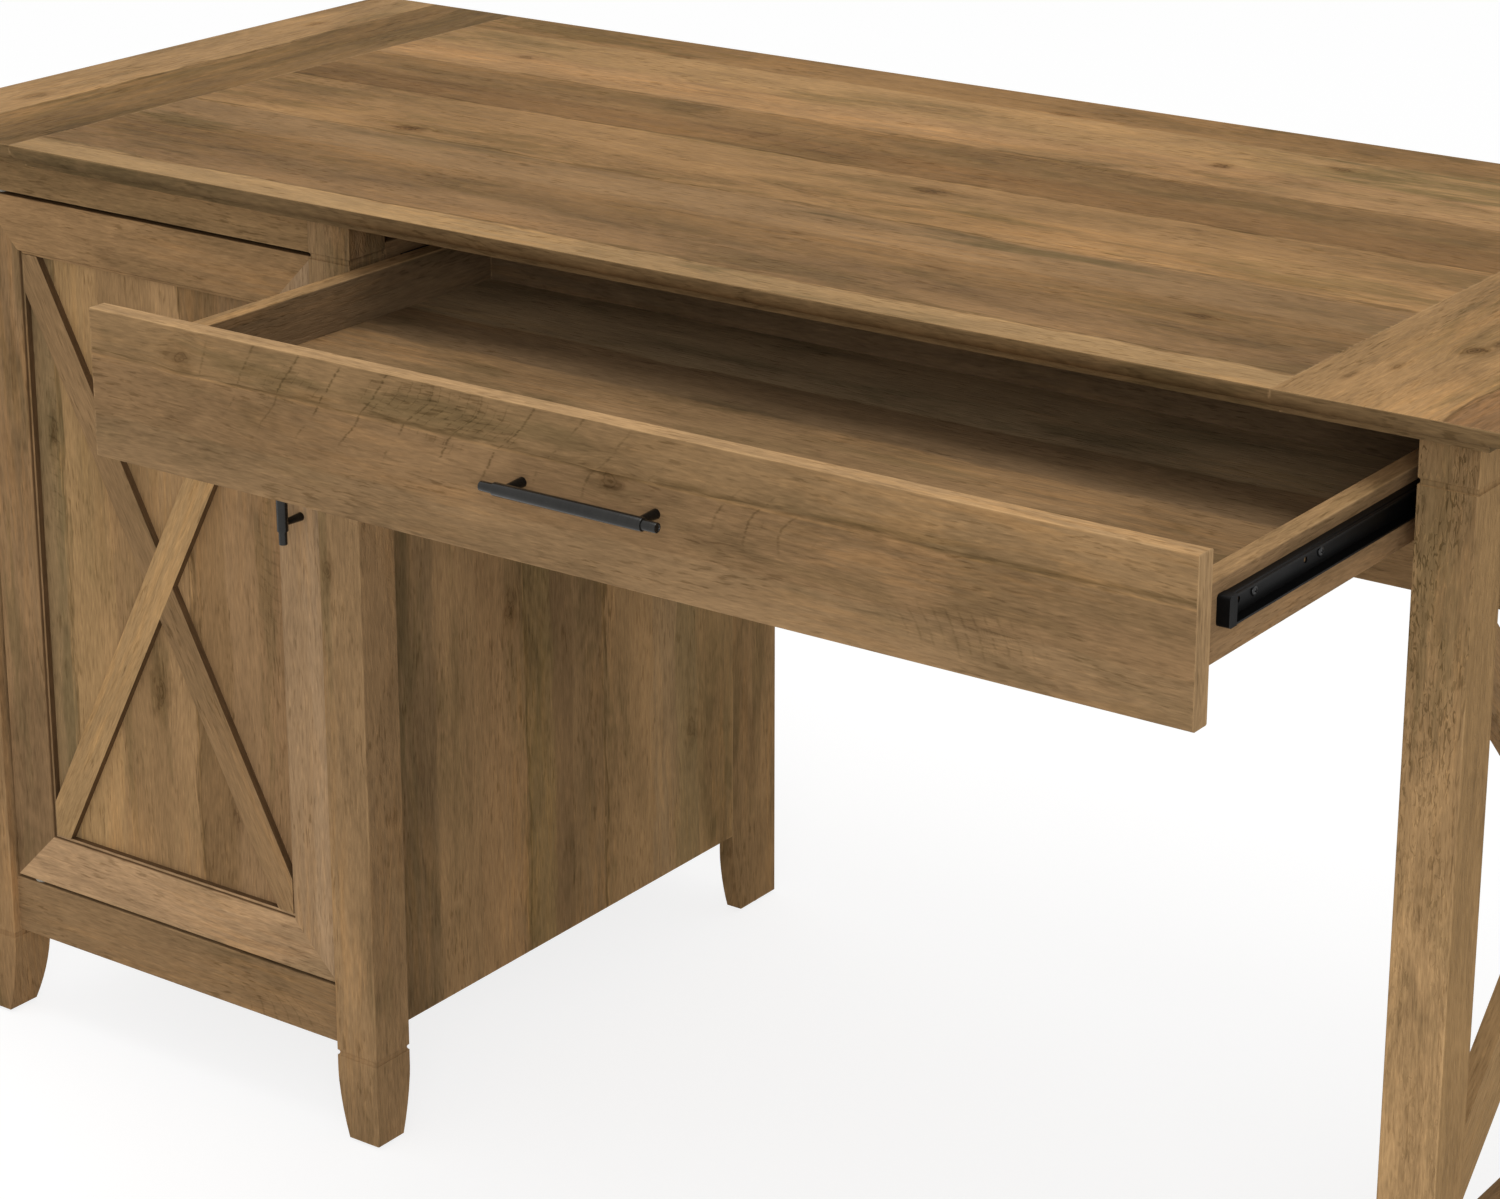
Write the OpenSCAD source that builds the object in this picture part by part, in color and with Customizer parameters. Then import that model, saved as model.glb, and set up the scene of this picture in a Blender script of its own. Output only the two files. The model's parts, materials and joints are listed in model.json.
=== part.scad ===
// Straight single-pedestal desk: planked top with breadboard ends, an inset X-braced door,
// a wide shallow drawer on ball-bearing slides, and an X-braced end frame on the right.
// Millimetres. X runs along the desk, -Y is the user's side, Z is up, and the floor is Z = 0.
// X = 0 is the middle of the desktop, and Y = 0 the middle of the whole depth with the drawer out.

/* [Desktop] */
// Length of the desktop
top_w = 1371; // [1250:1:1500]
// Depth of the desktop, front to back
top_d = 600; // [560:1:660]
// Height of the desktop's upper face above the floor
desk_h = 762; // [735:1:790]
// Thickness of the desktop
top_t = 19; // [18:0.5:26]
// Width of each breadboard end
breadboard_w = 152; // [110:1:200]
// How far the desktop stands past the legs at each end
side_overhang = 28; // [18:1:40]
// How far the desktop stands past the legs at the front
front_overhang = 31; // [18:1:45]
// How far the desktop stands past the legs at the back
back_overhang = 2; // [0:0.5:10]
// Height of the upright band at the top of the edge moulding
band_h = 2; // [1.5:0.5:3]
// Radius of the moulding's upper corner
nose_r = 0.8; // [0.5:0.1:1]
// Radius of the rounded part that draws in under the band
ovolo_r = 11; // [9:0.5:12]
// Depth of the step between the rounded part and the lower lip
lip_step = 5.3; // [3:0.1:7]

/* [Legs] */
// Width of the square posts
post_w = 40; // [36:1:48]
// Radius of the posts' and boards' softened edges
edge_r = 1.2; // [0.5:0.1:2]
// Distance of the upper ring groove below the desktop
upper_groove_drop = 31; // [24:1:40]
// Height of the lower ring groove, where the foot starts
foot_h = 73; // [60:1:76]
// Radius of the ring grooves' section
groove_r = 2.5; // [1.5:0.1:3]
// Depth of the ring grooves
groove_depth = 1.7; // [0.8:0.1:2]
// How much a post's foot narrows on each of its two inner faces
foot_taper = 10.5; // [6:0.5:13]
// Width of the board-shaped rear legs
rear_leg_w = 64; // [56:1:80]
// How much a rear leg's foot narrows on its front edge
rear_foot_taper = 12; // [6:0.5:18]
// Thickness of the side, end, back and floor boards
board_t = 15; // [12:0.5:16]
// Height of the lower edge of panels and rails above the floor
skirt_z = 77; // [77:1:95]

/* [Pedestal] */
// Width of the pedestal over its posts
pedestal_w = 435; // [400:1:480]
// Set-back of the rails, door and drawer front behind the posts' front faces
face_recess = 7; // [4:0.5:9]
// Thickness of the front rails
rail_t = 18; // [16:0.5:18]
// Height of the rail over the door
top_rail_h = 31.5; // [26:0.5:45]
// Height of the rail under the door
bottom_rail_h = 48; // [40:1:70]
// Set-back of the back panels behind the rear legs' rear edges
back_inset = 6; // [2:0.5:12]
// Height of the shelf's lower face above the pedestal floor
shelf_rise = 285; // [200:1:400]
// Distance of the shelf's front edge behind the door
shelf_setback = 40; // [20:1:80]
// Radius of the shelf pins' shafts
shelf_pin_r = 2.5; // [2:0.1:3]
// Distance of the shelf pins from the shelf's front and rear edges
shelf_pin_inset = 45; // [30:1:80]

/* [Kneehole] */
// Height of the back panel's lower edge in the kneehole
modesty_z = 425; // [350:1:500]
// Height of the end frame's top rail
end_rail_h = 121; // [100:1:150]
// Height of the end frame's bottom rail
end_bottom_rail_h = 85; // [50:1:110]
// Width of the end frame's cross braces
end_brace_w = 42; // [34:1:52]

/* [Door] */
// Gap round the door and at the ends of the drawer front
door_gap = 2.5; // [2.2:0.1:3.5]
// Thickness of the door frame
door_t = 18; // [17:0.5:20]
// Width of the flat part of the door frame
door_frame_w = 41; // [36:1:55]
// Width of the bead inside the door frame
bead_w = 5; // [3:0.5:6]
// Drop of the bead below the frame's face
bead_drop = 3; // [1.5:0.5:4]
// Set-back of the door panel behind the frame's face
panel_setback = 8; // [7:0.5:9]
// Thickness of the door panel
door_panel_t = 6; // [4:0.5:6]
// Depth of the panel groove in the frame
panel_groove = 7; // [5:0.5:9]
// Width of the door's cross braces
door_brace_w = 27; // [22:1:34]
// Thickness of the door's cross braces
door_brace_t = 6; // [4:0.5:6.5]
// Distance of the hinge pins from the door's hinge edge
pivot_in = 20; // [18:0.5:24]
// Radius of the hinge pins
hinge_pin_r = 3; // [2.5:0.1:3.5]
// Depth of the hinge pins in the rails
hinge_pin_seat = 15; // [10:0.5:20]
// Height of the hinge bushes inside the door
bush_h = 14; // [10:0.5:18]
// Wall of the hinge bushes
bush_wall = 2; // [1.5:0.1:2.5]
// Reach of the bush's flange past its wall
bush_flange = 2; // [1.5:0.1:2.4]

/* [Drawer] */
// How far the drawer stands out of its closed place
drawer_open = 267; // [150:1:272]
// Height of the drawer front
front_h = 103; // [90:1:120]
// Thickness of the drawer front
front_t = 15; // [12:0.5:18]
// Gap between the drawer front and the desktop
front_top_gap = 3; // [2:0.5:6]
// Height of the drawer's sides and back
side_h = 49; // [46:1:58]
// Thickness of the drawer's sides and back
side_t = 15; // [12:0.5:16]
// Length of the drawer box behind its front
box_l = 385; // [380:1:430]
// Height of the box's lower edge above the drawer front's lower edge
box_rise = 26; // [18:1:30]
// Thickness of the drawer bottom
bottom_t = 4; // [3:0.5:6]
// Height of the drawer bottom above the sides' lower edges
bottom_rise = 10; // [7:0.5:13]
// Depth of the grooves that hold the drawer bottom
bottom_groove = 6; // [4:0.5:8]

/* [Slides] */
// Length of the slide members
slide_l = 350; // [340:1:360]
// Width of the gap that each slide fills between drawer and desk
slide_w = 12.7; // [12.5:0.1:13.5]
// Height of the outer slide member
outer_h = 27; // [26:0.1:28]
// Height of the inner slide member
inner_h = 18; // [17.5:0.1:18.5]
// Thickness of the slide members' steel
sheet_t = 1.2; // [1:0.1:1.2]
// Depth of the outer member's flanges from the desk
outer_reach = 10.2; // [9.8:0.1:10.4]
// Depth of the inner member's flanges from the drawer
inner_reach = 8.3; // [8:0.1:8.3]
// Height of the slides' centre line above the drawer sides' lower edges
slide_rise = 31; // [28:0.5:33]
// Gap between the drawer front's back face and the slide's bumper
slide_setback = 25; // [24:1:30]
// Length of the plastic bumper on the inner member's front end
bumper_l = 9; // [6:0.5:9]
// Radius of the steel balls
ball_r = 1.75; // [1.7:0.01:1.8]
// Number of balls in each row
balls_per_row = 6; // [4:1:6]
// Distance between neighbouring balls
ball_pitch = 12; // [8:0.5:12.5]
// Length of the ball cage
cage_l = 76; // [75:1:78]
// Thickness of the ball cage's sheet
cage_t = 0.6; // [0.5:0.1:0.7]

/* [Pulls] */
// Overall length of a pull
pull_l = 135; // [128:1:145]
// Length of the thick middle of a pull's bar
pull_main_l = 114; // [110:1:120]
// Radius of the thick middle of a pull's bar
pull_r = 4.4; // [3.8:0.1:5]
// Radius of the bar's thin tips
pull_tip_r = 3.3; // [2.5:0.1:3.5]
// Distance between a pull's two posts
pull_spacing = 102; // [96:1:106]
// Radius of a pull's conical posts where they meet the wood
pull_post_r = 3.4; // [3.3:0.1:4]
// Radius of the same posts at the bar's axis
pull_neck_r = 2.4; // [2.3:0.1:3]
// Distance of the bar's axis from the face it is fixed to
pull_standoff = 20; // [18:0.5:26]
// Height of the door pull's middle above the door's lower edge
door_pull_z = 429; // [300:1:450]
// Height of the drawer pull's axis above the drawer front's lower edge
drawer_pull_z = 53; // [45:1:60]

/* [Hardware] */
// Radius of a wood screw's shaft
screw_r = 1.6; // [1.2:0.1:2]
// Length of a wood screw's shaft
screw_l = 11; // [8:0.5:11.5]
// Radius of a wood screw's head
screw_head_r = 3.2; // [2.8:0.1:3.6]
// Height of a wood screw's head
screw_head_h = 1.6; // [1.2:0.1:1.7]
// Length of each leaf of the angle brackets under the desktop
bracket_leaf = 20; // [16:1:26]
// Width of the angle brackets
bracket_w = 16; // [12:1:22]
// Thickness of the angle brackets' steel
bracket_t = 2; // [1.5:0.1:2.5]
// Thickness of the foot glides
glide_t = 2.5; // [2:0.5:5]
// Radius of the glides under the posts
post_glide_r = 9; // [7:0.5:11]
// Radius of the glides under the rear legs
board_glide_r = 5.5; // [4.5:0.5:5.5]

/* [Hidden] */
$fn = 48;
// Play between parts that slot into each other, and of a shaft in its hole
fit = 0.1;
pin_fit = 0.05;
// Overlap of a cutting shape past the face that it cuts
cut = 1;

// Frame of reference, from the outside in
pull_reach = pull_standoff + pull_r;
box_d = top_d - front_overhang - face_recess + drawer_open + pull_reach;
y_top_back = box_d / 2;
y_top_front = y_top_back - top_d;
y_front = y_top_front + front_overhang;
y_rear = y_top_back - back_overhang;
y_face = y_front + face_recess;
y_behind_posts = y_front + post_w;
y_rear_leg = y_rear - rear_leg_w;
y_back_panel = y_rear - back_inset - board_t;
z_under = desk_h - top_t;

// Stations along the desk
x_end = top_w / 2;
x_base = x_end - side_overhang;
x_door0 = -x_base + post_w;
x_knee0 = -x_base + pedestal_w;
x_door1 = x_knee0 - post_w;
x_knee1 = x_base - post_w;
x_left_board = x_door0 - board_t;
opening_w = x_door1 - x_door0;
knee_w = x_knee1 - x_knee0;

// Front rails and door
z_floor = skirt_z + bottom_rail_h;
door_w = opening_w - 2 * door_gap;
door_z = z_floor + door_gap;
door_h = z_under - top_rail_h - door_gap - door_z;
frame_w = door_frame_w + bead_w;
panel_y = panel_setback + fit;
pivot_x = x_door0 + door_gap + pivot_in;
pivot_y = y_face + door_t / 2;
bush_r = hinge_pin_r + pin_fit + bush_wall;
bush_play = 0.3;
pin_end_gap = 1;
panel_play = 0.5;
opening_x = door_w - 2 * frame_w;
opening_z = door_h - 2 * frame_w;
catch_w = 13;
catch_l = 32;
catch_drop = 110;
catch_z = door_z + door_h - catch_drop;
catch_gap = 0.3;
catch_wall = 3;
catch_end_wall = 5;
catch_mouth = 2;
pole_t = 2;
pole_inset = 0.4;
strike_t = 1.2;
strike_w = 14;
strike_end = 12;
strike_screw_l = 8;
shelf_z = z_floor + shelf_rise;
shelf_y = y_face + door_t + shelf_setback;
shelf_play = 1;
shelf_tab = 8;

// Space of the end frame's cross
end_w = y_rear_leg - y_behind_posts;
end_z = skirt_z + end_bottom_rail_h;
end_h = z_under - end_rail_h - end_z;

// Drawer, with y_drawer the front's outer face as it stands open
y_drawer = y_face - drawer_open;
front_w = knee_w - 2 * door_gap;
front_z = z_under - front_top_gap - front_h;
box_w = knee_w - 2 * slide_w;
box_z = front_z + box_rise;
box_y = y_drawer + front_t;
box_x = x_knee0 + slide_w;
bottom_z = box_z + bottom_rise;

// Slides, in a local frame: X from the desk towards the drawer, Y back from the member's front end
slide_z = box_z + slide_rise;
y_inner = box_y + slide_setback + bumper_l;
y_outer = y_inner + drawer_open;
race_play = 0.2;
ball_x = 6.6;
ball_z = (outer_h / 2 - sheet_t + inner_h / 2) / 2;
cage_x = 3.4;
cage_depth = 5.6;
cage_margin = 3;
bumper_rise = 1;
bumper_corner = 2.5;
y_cage = y_outer + (y_inner + slide_l - y_outer - cage_l) / 2;
first_ball = (cage_l - (balls_per_row - 1) * ball_pitch) / 2;
outer_screws = [40, 165, 310];
inner_screws = [32, 112, 290];
inner_slots = [14, 94, 272];
slot_r = 2;
cleat_t = x_knee0 - x_door1 - board_t;
cleat_h = 50;
cleat_back = 20;

// Brackets under the desktop, in pairs on the side walls
bracket_spread = 130;
bracket_hole = 0.6;
glide_chamfer = 0.8;

// Machine screws of the pulls
pull_screw_r = 2;
pull_thread_l = 9;
pull_head_r = 4;
pull_head_h = 2.4;
pull_chamfer = 0.6;
pull_hole_play = 0.2;

// Colours of the finishes
oak = [0.62, 0.46, 0.29];
dark_oak = [0.50, 0.37, 0.23];
black_metal = [0.08, 0.08, 0.09];
steel = [0.70, 0.70, 0.72];
nylon = [0.85, 0.84, 0.80];

// ---------- Shared shapes ----------

// Rectangle with softened corners
module soft_rect(w, d, r) {
    translate([r, 0]) square([w - 2 * r, d]);
    translate([0, r]) square([w, d - 2 * r]);
    for (x = [r, w - r], y = [r, d - r])
        translate([x, y]) circle(r);
}

// Board with softened long edges, extruded along X, Y or Z
module board_x(size) rotate([90, 0, 90]) linear_extrude(size.x) soft_rect(size.y, size.z, edge_r);
module board_y(size)
    translate([0, size.y, 0]) rotate([90, 0, 0]) linear_extrude(size.y) soft_rect(size.x, size.z, edge_r);
module board_z(size) linear_extrude(size.z) soft_rect(size.x, size.y, edge_r);

// Round rod from one end along X, Y or Z
module rod_x(r, l) rotate([0, 90, 0]) cylinder(r = r, h = l);
module rod_y(r, l) rotate([-90, 0, 0]) cylinder(r = r, h = l);
module rod_z(r, l) cylinder(r = r, h = l);

// Pan-head wood screw along +Z, with its head's seat at z = 0 and a cross cut in the head
module wood_screw(l = screw_l) {
    cross_l = screw_head_r * 1.2;
    cross_w = 0.8;
    translate([0, 0, -screw_head_h]) difference() {
        cylinder(r = screw_head_r, h = screw_head_h);
        for (a = [0, 90]) rotate(a)
            translate([-cross_l / 2, -cross_w / 2, -cut]) cube([cross_l, cross_w, cut + cross_w]);
    }
    cylinder(r = screw_r, h = l);
}
module pilot(l = screw_l) translate([0, 0, -cut]) cylinder(r = screw_r + pin_fit, h = l + cut + fit);

// ---------- Desktop ----------

// Section of the moulded board: X back from the moulded edge, Y up from the underside
module moulded_section(depth) {
    band_z = top_t - band_h;
    lip_x = ovolo_r + lip_step;
    translate([nose_r, band_z]) square([depth - nose_r, band_h]);
    translate([0, band_z]) square([nose_r + 0.01, band_h - nose_r]);
    translate([nose_r, top_t - nose_r]) circle(nose_r);
    intersection() {
        translate([ovolo_r, band_z]) circle(ovolo_r);
        translate([0, band_z - ovolo_r]) square([ovolo_r + 0.01, ovolo_r + 0.01]);
    }
    translate([ovolo_r, band_z - ovolo_r]) square([depth - ovolo_r, ovolo_r + 0.01]);
    translate([lip_x, 0]) square([depth - lip_x, band_z]);
}

// Whole board with the moulding mitred round its front and both ends
module moulded_board() {
    intersection() {
        translate([-x_end, y_top_front, z_under])
            rotate([90, 0, 90]) linear_extrude(top_w) moulded_section(top_d);
        translate([0, y_top_back, z_under]) rotate([90, 0, 0]) linear_extrude(top_d)
            for (s = [0, 1]) mirror([s, 0, 0]) translate([-x_end, 0]) moulded_section(x_end);
    }
}

module desktop_slice(x0, x1) {
    difference() {
        intersection() {
            moulded_board();
            translate([x0, y_top_front - cut, z_under - cut])
                cube([x1 - x0, top_d + 2 * cut, top_t + 2 * cut]);
        }
        bracket_screw_places() pilot();
    }
}

module desktop_field() color(oak) desktop_slice(-x_end + breadboard_w, x_end - breadboard_w);
module breadboard_left() color(oak) desktop_slice(-x_end, -x_end + breadboard_w);
module breadboard_right() color(oak) desktop_slice(x_end - breadboard_w, x_end);

// ---------- Legs ----------

// Material outside the arc that draws a foot in by `taper` at the floor, for a face at x = 0
module foot_cut(taper, span, width) {
    r = (span * span + taper * taper) / (2 * taper);
    difference() {
        translate([-cut, -cut, foot_h - span - cut]) cube([taper + 2 * cut, width + 2 * cut, span + cut]);
        translate([r, -2 * cut, foot_h]) rod_y(r, width + 4 * cut, $fn = 180);
    }
}

module ring_groove(z) {
    out = groove_r - groove_depth;
    for (y = [-out, post_w + out]) translate([-cut, y, z]) rod_x(groove_r, post_w + 2 * cut);
    for (x = [-out, post_w + out]) translate([x, -cut, z]) rod_y(groove_r, post_w + 2 * cut);
}

// Post with its corner at the origin, tapered on its -X and +Y faces
module post() {
    span = foot_h - glide_t;
    difference() {
        translate([0, 0, glide_t]) board_z([post_w, post_w, z_under - glide_t]);
        ring_groove(foot_h);
        ring_groove(z_under - upper_groove_drop);
        foot_cut(foot_taper, span, post_w);
        translate([0, post_w, 0]) rotate(-90) foot_cut(foot_taper, span, post_w);
    }
}

module pedestal_left_post() color(oak) translate([x_door0, y_front, 0]) mirror([1, 0, 0]) post();
module pedestal_right_post() color(oak) translate([x_door1, y_front, 0]) post();
module right_front_leg() color(oak) translate([x_knee1, y_front, 0]) post();

// Rear leg board with its lower front corner at the origin
module rear_leg() {
    difference() {
        translate([0, 0, glide_t]) board_z([board_t, rear_leg_w, z_under - glide_t]);
        translate([board_t, 0, 0]) rotate(90) foot_cut(rear_foot_taper, foot_h - glide_t, board_t);
    }
}

module pedestal_left_rear_leg() color(oak) translate([x_left_board, y_rear_leg, 0]) rear_leg();
module pedestal_right_rear_leg() color(oak) translate([x_door1, y_rear_leg, 0]) rear_leg();
module right_rear_leg() color(oak) translate([x_knee1, y_rear_leg, 0]) rear_leg();

// ---------- Pedestal case ----------

module side_panel(x) {
    difference() {
        translate([x, y_behind_posts, skirt_z])
            cube([board_t, y_rear_leg - y_behind_posts, z_under - skirt_z]);
        shelf_pin_holes();
        bracket_screw_places(wall = true) pilot();
    }
}

module pedestal_left_panel() color(oak) side_panel(x_left_board);
module pedestal_right_panel() color(oak) side_panel(x_door1);

module pedestal_back_panel() {
    color(dark_oak) translate([x_door0, y_back_panel, skirt_z])
        cube([opening_w, board_t, z_under - skirt_z]);
}

module pedestal_floor() {
    y0 = y_face + rail_t;
    color(dark_oak) translate([x_door0, y0, z_floor - board_t])
        cube([opening_w, y_back_panel - y0, board_t]);
}

module pedestal_top_rail() {
    color(oak) difference() {
        translate([x_door0, y_face, z_under - top_rail_h]) board_x([opening_w, rail_t, top_rail_h]);
        translate([pivot_x, pivot_y, z_under - top_rail_h - cut])
            rod_z(hinge_pin_r + pin_fit, hinge_pin_seat + cut);
    }
}

module pedestal_bottom_rail() {
    color(oak) difference() {
        translate([x_door0, y_face, skirt_z]) board_x([opening_w, rail_t, bottom_rail_h]);
        translate([pivot_x, pivot_y, z_floor - hinge_pin_seat])
            rod_z(hinge_pin_r + pin_fit, hinge_pin_seat + cut);
    }
}

module adjustable_shelf() {
    color(dark_oak) translate([x_door0 + shelf_play, shelf_y, shelf_z])
        board_x([opening_w - 2 * shelf_play, y_back_panel - shelf_play - shelf_y, board_t]);
}

// Spoon pins: a shaft in the panel and a flat tab under the shelf
module shelf_pin_places() {
    shelf_end = y_back_panel - shelf_play;
    for (s = [0, 1], y = [shelf_y + shelf_pin_inset, shelf_end - shelf_pin_inset])
        translate([s == 0 ? x_door0 : x_door1, y, shelf_z]) mirror([s, 0, 0]) children();
}

module shelf_pin_holes() {
    shelf_pin_places() translate([-shelf_tab - fit, 0, -shelf_pin_r])
        rod_x(shelf_pin_r + pin_fit, shelf_tab + fit + cut);
}

module shelf_pins() {
    color(steel) shelf_pin_places() {
        translate([-shelf_tab, 0, -shelf_pin_r]) rod_x(shelf_pin_r, shelf_tab + cut);
        translate([0, -shelf_tab / 2, -2 * shelf_pin_r]) cube([shelf_tab, shelf_tab, 2 * shelf_pin_r]);
    }
}

// ---------- Kneehole and end frame ----------

module modesty_panel() {
    x0 = x_door1 + board_t;
    color(oak) difference() {
        translate([x0, y_back_panel, modesty_z]) cube([x_knee1 - x0, board_t, z_under - modesty_z]);
        bracket_screw_places(wall = true) pilot();
    }
}

module slide_cleat() {
    y0 = y_behind_posts;
    color(dark_oak) difference() {
        translate([x_door1 + board_t, y0, slide_z - cleat_h / 2])
            board_y([cleat_t, y_outer + slide_l + cleat_back - y0, cleat_h]);
        outer_screw_places(0) pilot();
    }
}

module right_top_rail() {
    color(oak) difference() {
        translate([x_knee1, y_behind_posts, z_under - end_rail_h])
            board_y([board_t, y_rear_leg - y_behind_posts, end_rail_h]);
        outer_screw_places(1) pilot();
        bracket_screw_places(wall = true) pilot();
    }
}

module right_bottom_rail() {
    color(oak) translate([x_knee1, y_behind_posts, skirt_z])
        board_y([board_t, y_rear_leg - y_behind_posts, end_bottom_rail_h]);
}

// Strip of width `strip` along a diagonal of a w by h opening
module diagonal(w, h, strip, rising) {
    intersection() {
        square([w, h]);
        translate([w / 2, h / 2]) rotate((rising ? 1 : -1) * atan2(h, w))
            square([w + h, strip], center = true);
    }
}

// Cross of one whole brace and two halves that butt against it
module cross_long(w, h, strip) diagonal(w, h, strip, true);
module cross_half(w, h, strip, upper) {
    intersection() {
        difference() {
            diagonal(w, h, strip, false);
            diagonal(w, h, strip, true);
        }
        translate([0, upper ? h / 2 : 0]) square([w, h / 2]);
    }
}

module end_brace_place() {
    translate([x_knee1, y_behind_posts, end_z]) rotate([90, 0, 90]) linear_extrude(board_t) children();
}

module end_brace_long() color(oak) end_brace_place() cross_long(end_w, end_h, end_brace_w);
module end_brace_upper() color(oak) end_brace_place() cross_half(end_w, end_h, end_brace_w, true);
module end_brace_lower() color(oak) end_brace_place() cross_half(end_w, end_h, end_brace_w, false);

// ---------- Door ----------

// Section of a frame member: X from the face to the back, Y from the outer to the inner edge
module frame_section() {
    difference() {
        soft_rect(door_t, frame_w, edge_r);
        translate([-cut, door_frame_w]) square([bead_drop + cut, bead_w + cut]);
        translate([panel_setback, frame_w - panel_groove])
            square([door_panel_t + 2 * fit, panel_groove + cut]);
    }
    translate([bead_drop, door_frame_w]) intersection() {
        circle(bead_drop);
        translate([-bead_drop, 0]) square(bead_drop + 0.01);
    }
}

// Member along X with mitred ends, its outer edge at z = 0 and its face at y = 0
module frame_member(l) {
    intersection() {
        rotate([90, 0, 90]) linear_extrude(l) frame_section();
        translate([0, door_t + cut, 0]) rotate([90, 0, 0]) linear_extrude(door_t + 2 * cut)
            polygon([[0, 0], [l, 0], [l - frame_w, frame_w], [frame_w, frame_w]]);
    }
}

module door_place() translate([x_door0 + door_gap, y_face, door_z]) children();

module door_bottom_rail() {
    color(oak) door_place() difference() {
        frame_member(door_w);
        translate([pivot_in, door_t / 2, -cut]) rod_z(bush_r + pin_fit, bush_h + cut);
    }
}

module door_top_rail() {
    color(oak) door_place() difference() {
        translate([0, 0, door_h]) mirror([0, 0, 1]) frame_member(door_w);
        translate([pivot_in, door_t / 2, door_h - bush_h]) rod_z(bush_r + pin_fit, bush_h + cut);
    }
}

module door_hinge_stile() {
    color(oak) door_place() difference() {
        mirror([1, 0, -1]) frame_member(door_h);
        for (z = [-cut, door_h - bush_h])
            translate([pivot_in, door_t / 2, z]) rod_z(bush_r + pin_fit, bush_h + cut);
    }
}

module door_pull_stile() {
    color(oak) difference() {
        door_place() translate([door_w, 0, 0]) mirror([1, 0, 0]) mirror([1, 0, -1]) frame_member(door_h);
        door_pull_place() pull_holes(door_t);
        strike_screw_places() pilot(door_t - panel_setback);
    }
}

module door_panel() {
    reach = panel_groove - panel_play;
    color(oak) door_place() translate([frame_w - reach, panel_y, frame_w - reach])
        cube([opening_x + 2 * reach, door_panel_t, opening_z + 2 * reach]);
}

module door_brace_place() {
    color(oak) door_place() translate([frame_w, panel_y, frame_w]) rotate([90, 0, 0])
        linear_extrude(door_brace_t) children();
}

module door_brace_long() door_brace_place() cross_long(opening_x, opening_z, door_brace_w);
module door_brace_upper() door_brace_place() cross_half(opening_x, opening_z, door_brace_w, true);
module door_brace_lower() door_brace_place() cross_half(opening_x, opening_z, door_brace_w, false);

// Steel pins in the rails, and flanged nylon bushes on them in the door
module hinge_pins() {
    l = hinge_pin_seat + door_gap + bush_h - pin_end_gap;
    color(steel) translate([pivot_x, pivot_y, 0]) {
        translate([0, 0, z_floor - hinge_pin_seat]) rod_z(hinge_pin_r, l);
        translate([0, 0, z_under - top_rail_h + hinge_pin_seat - l]) rod_z(hinge_pin_r, l);
    }
}

module hinge_bush(flange_t) {
    difference() {
        union() {
            rod_z(bush_r, bush_h);
            translate([0, 0, -flange_t]) rod_z(bush_r + bush_flange, flange_t);
        }
        translate([0, 0, -flange_t - cut]) rod_z(hinge_pin_r + pin_fit, bush_h + flange_t + 2 * cut);
    }
}

module hinge_bushes() {
    color(nylon) door_place() translate([pivot_in, door_t / 2, 0]) {
        hinge_bush(door_gap);
        translate([0, 0, door_h]) mirror([0, 0, 1]) hinge_bush(door_gap - bush_play);
    }
}

// Magnetic catch on the right post, and its strike on the door
module magnet_catch() {
    y0 = y_face + door_t + strike_t + catch_gap;
    pole_l = catch_l - 2 * catch_end_wall;
    color(nylon) translate([x_door1 - catch_w, y0, catch_z]) {
        difference() {
            board_y([catch_w, y_behind_posts - y0, catch_l]);
            translate([catch_wall, -cut, catch_end_wall])
                cube([catch_w - 2 * catch_wall, catch_mouth + cut, pole_l]);
        }
        for (x = [catch_wall, catch_w - catch_wall - pole_t]) translate([x, pole_inset, catch_end_wall])
            cube([pole_t, catch_mouth - pole_inset, pole_l]);
    }
}

module strike_screw_places() {
    translate([x_door1 - door_gap - strike_w / 2, y_face + door_t + strike_t, catch_z]) {
        for (z = [-strike_end / 2, catch_l + strike_end / 2])
            translate([0, 0, z]) rotate([90, 0, 0]) children();
    }
}

module strike_plate() {
    y0 = y_face + door_t;
    color(steel) {
        difference() {
            translate([x_door1 - door_gap - strike_w, y0, catch_z - strike_end])
                board_y([strike_w, strike_t, catch_l + 2 * strike_end]);
            strike_screw_places() pilot(strike_t);
        }
        strike_screw_places() wood_screw(strike_t + strike_screw_l);
    }
}

// ---------- Drawer ----------

module drawer_front() {
    color(oak) difference() {
        translate([x_knee0 + door_gap, y_drawer, front_z]) board_x([front_w, front_t, front_h]);
        drawer_pull_place() pull_holes(front_t);
        bottom_slot();
    }
}

// Space of the drawer bottom's panel and its play
module bottom_slot() {
    x0 = box_x + side_t - bottom_groove - fit;
    y0 = box_y - bottom_groove - fit;
    y1 = box_y + box_l - side_t + bottom_groove + fit;
    translate([x0, y0, bottom_z - fit])
        cube([box_w - 2 * side_t + 2 * bottom_groove + 2 * fit, y1 - y0, bottom_t + 2 * fit]);
}

module drawer_bottom() {
    color(dark_oak) translate([box_x + side_t - bottom_groove, box_y - bottom_groove, bottom_z])
        cube([box_w - 2 * side_t + 2 * bottom_groove, box_l - side_t + 2 * bottom_groove, bottom_t]);
}

module drawer_side(x) {
    difference() {
        translate([x, box_y, box_z]) board_y([side_t, box_l, side_h]);
        bottom_slot();
        inner_screw_places() pilot();
    }
}

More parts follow.
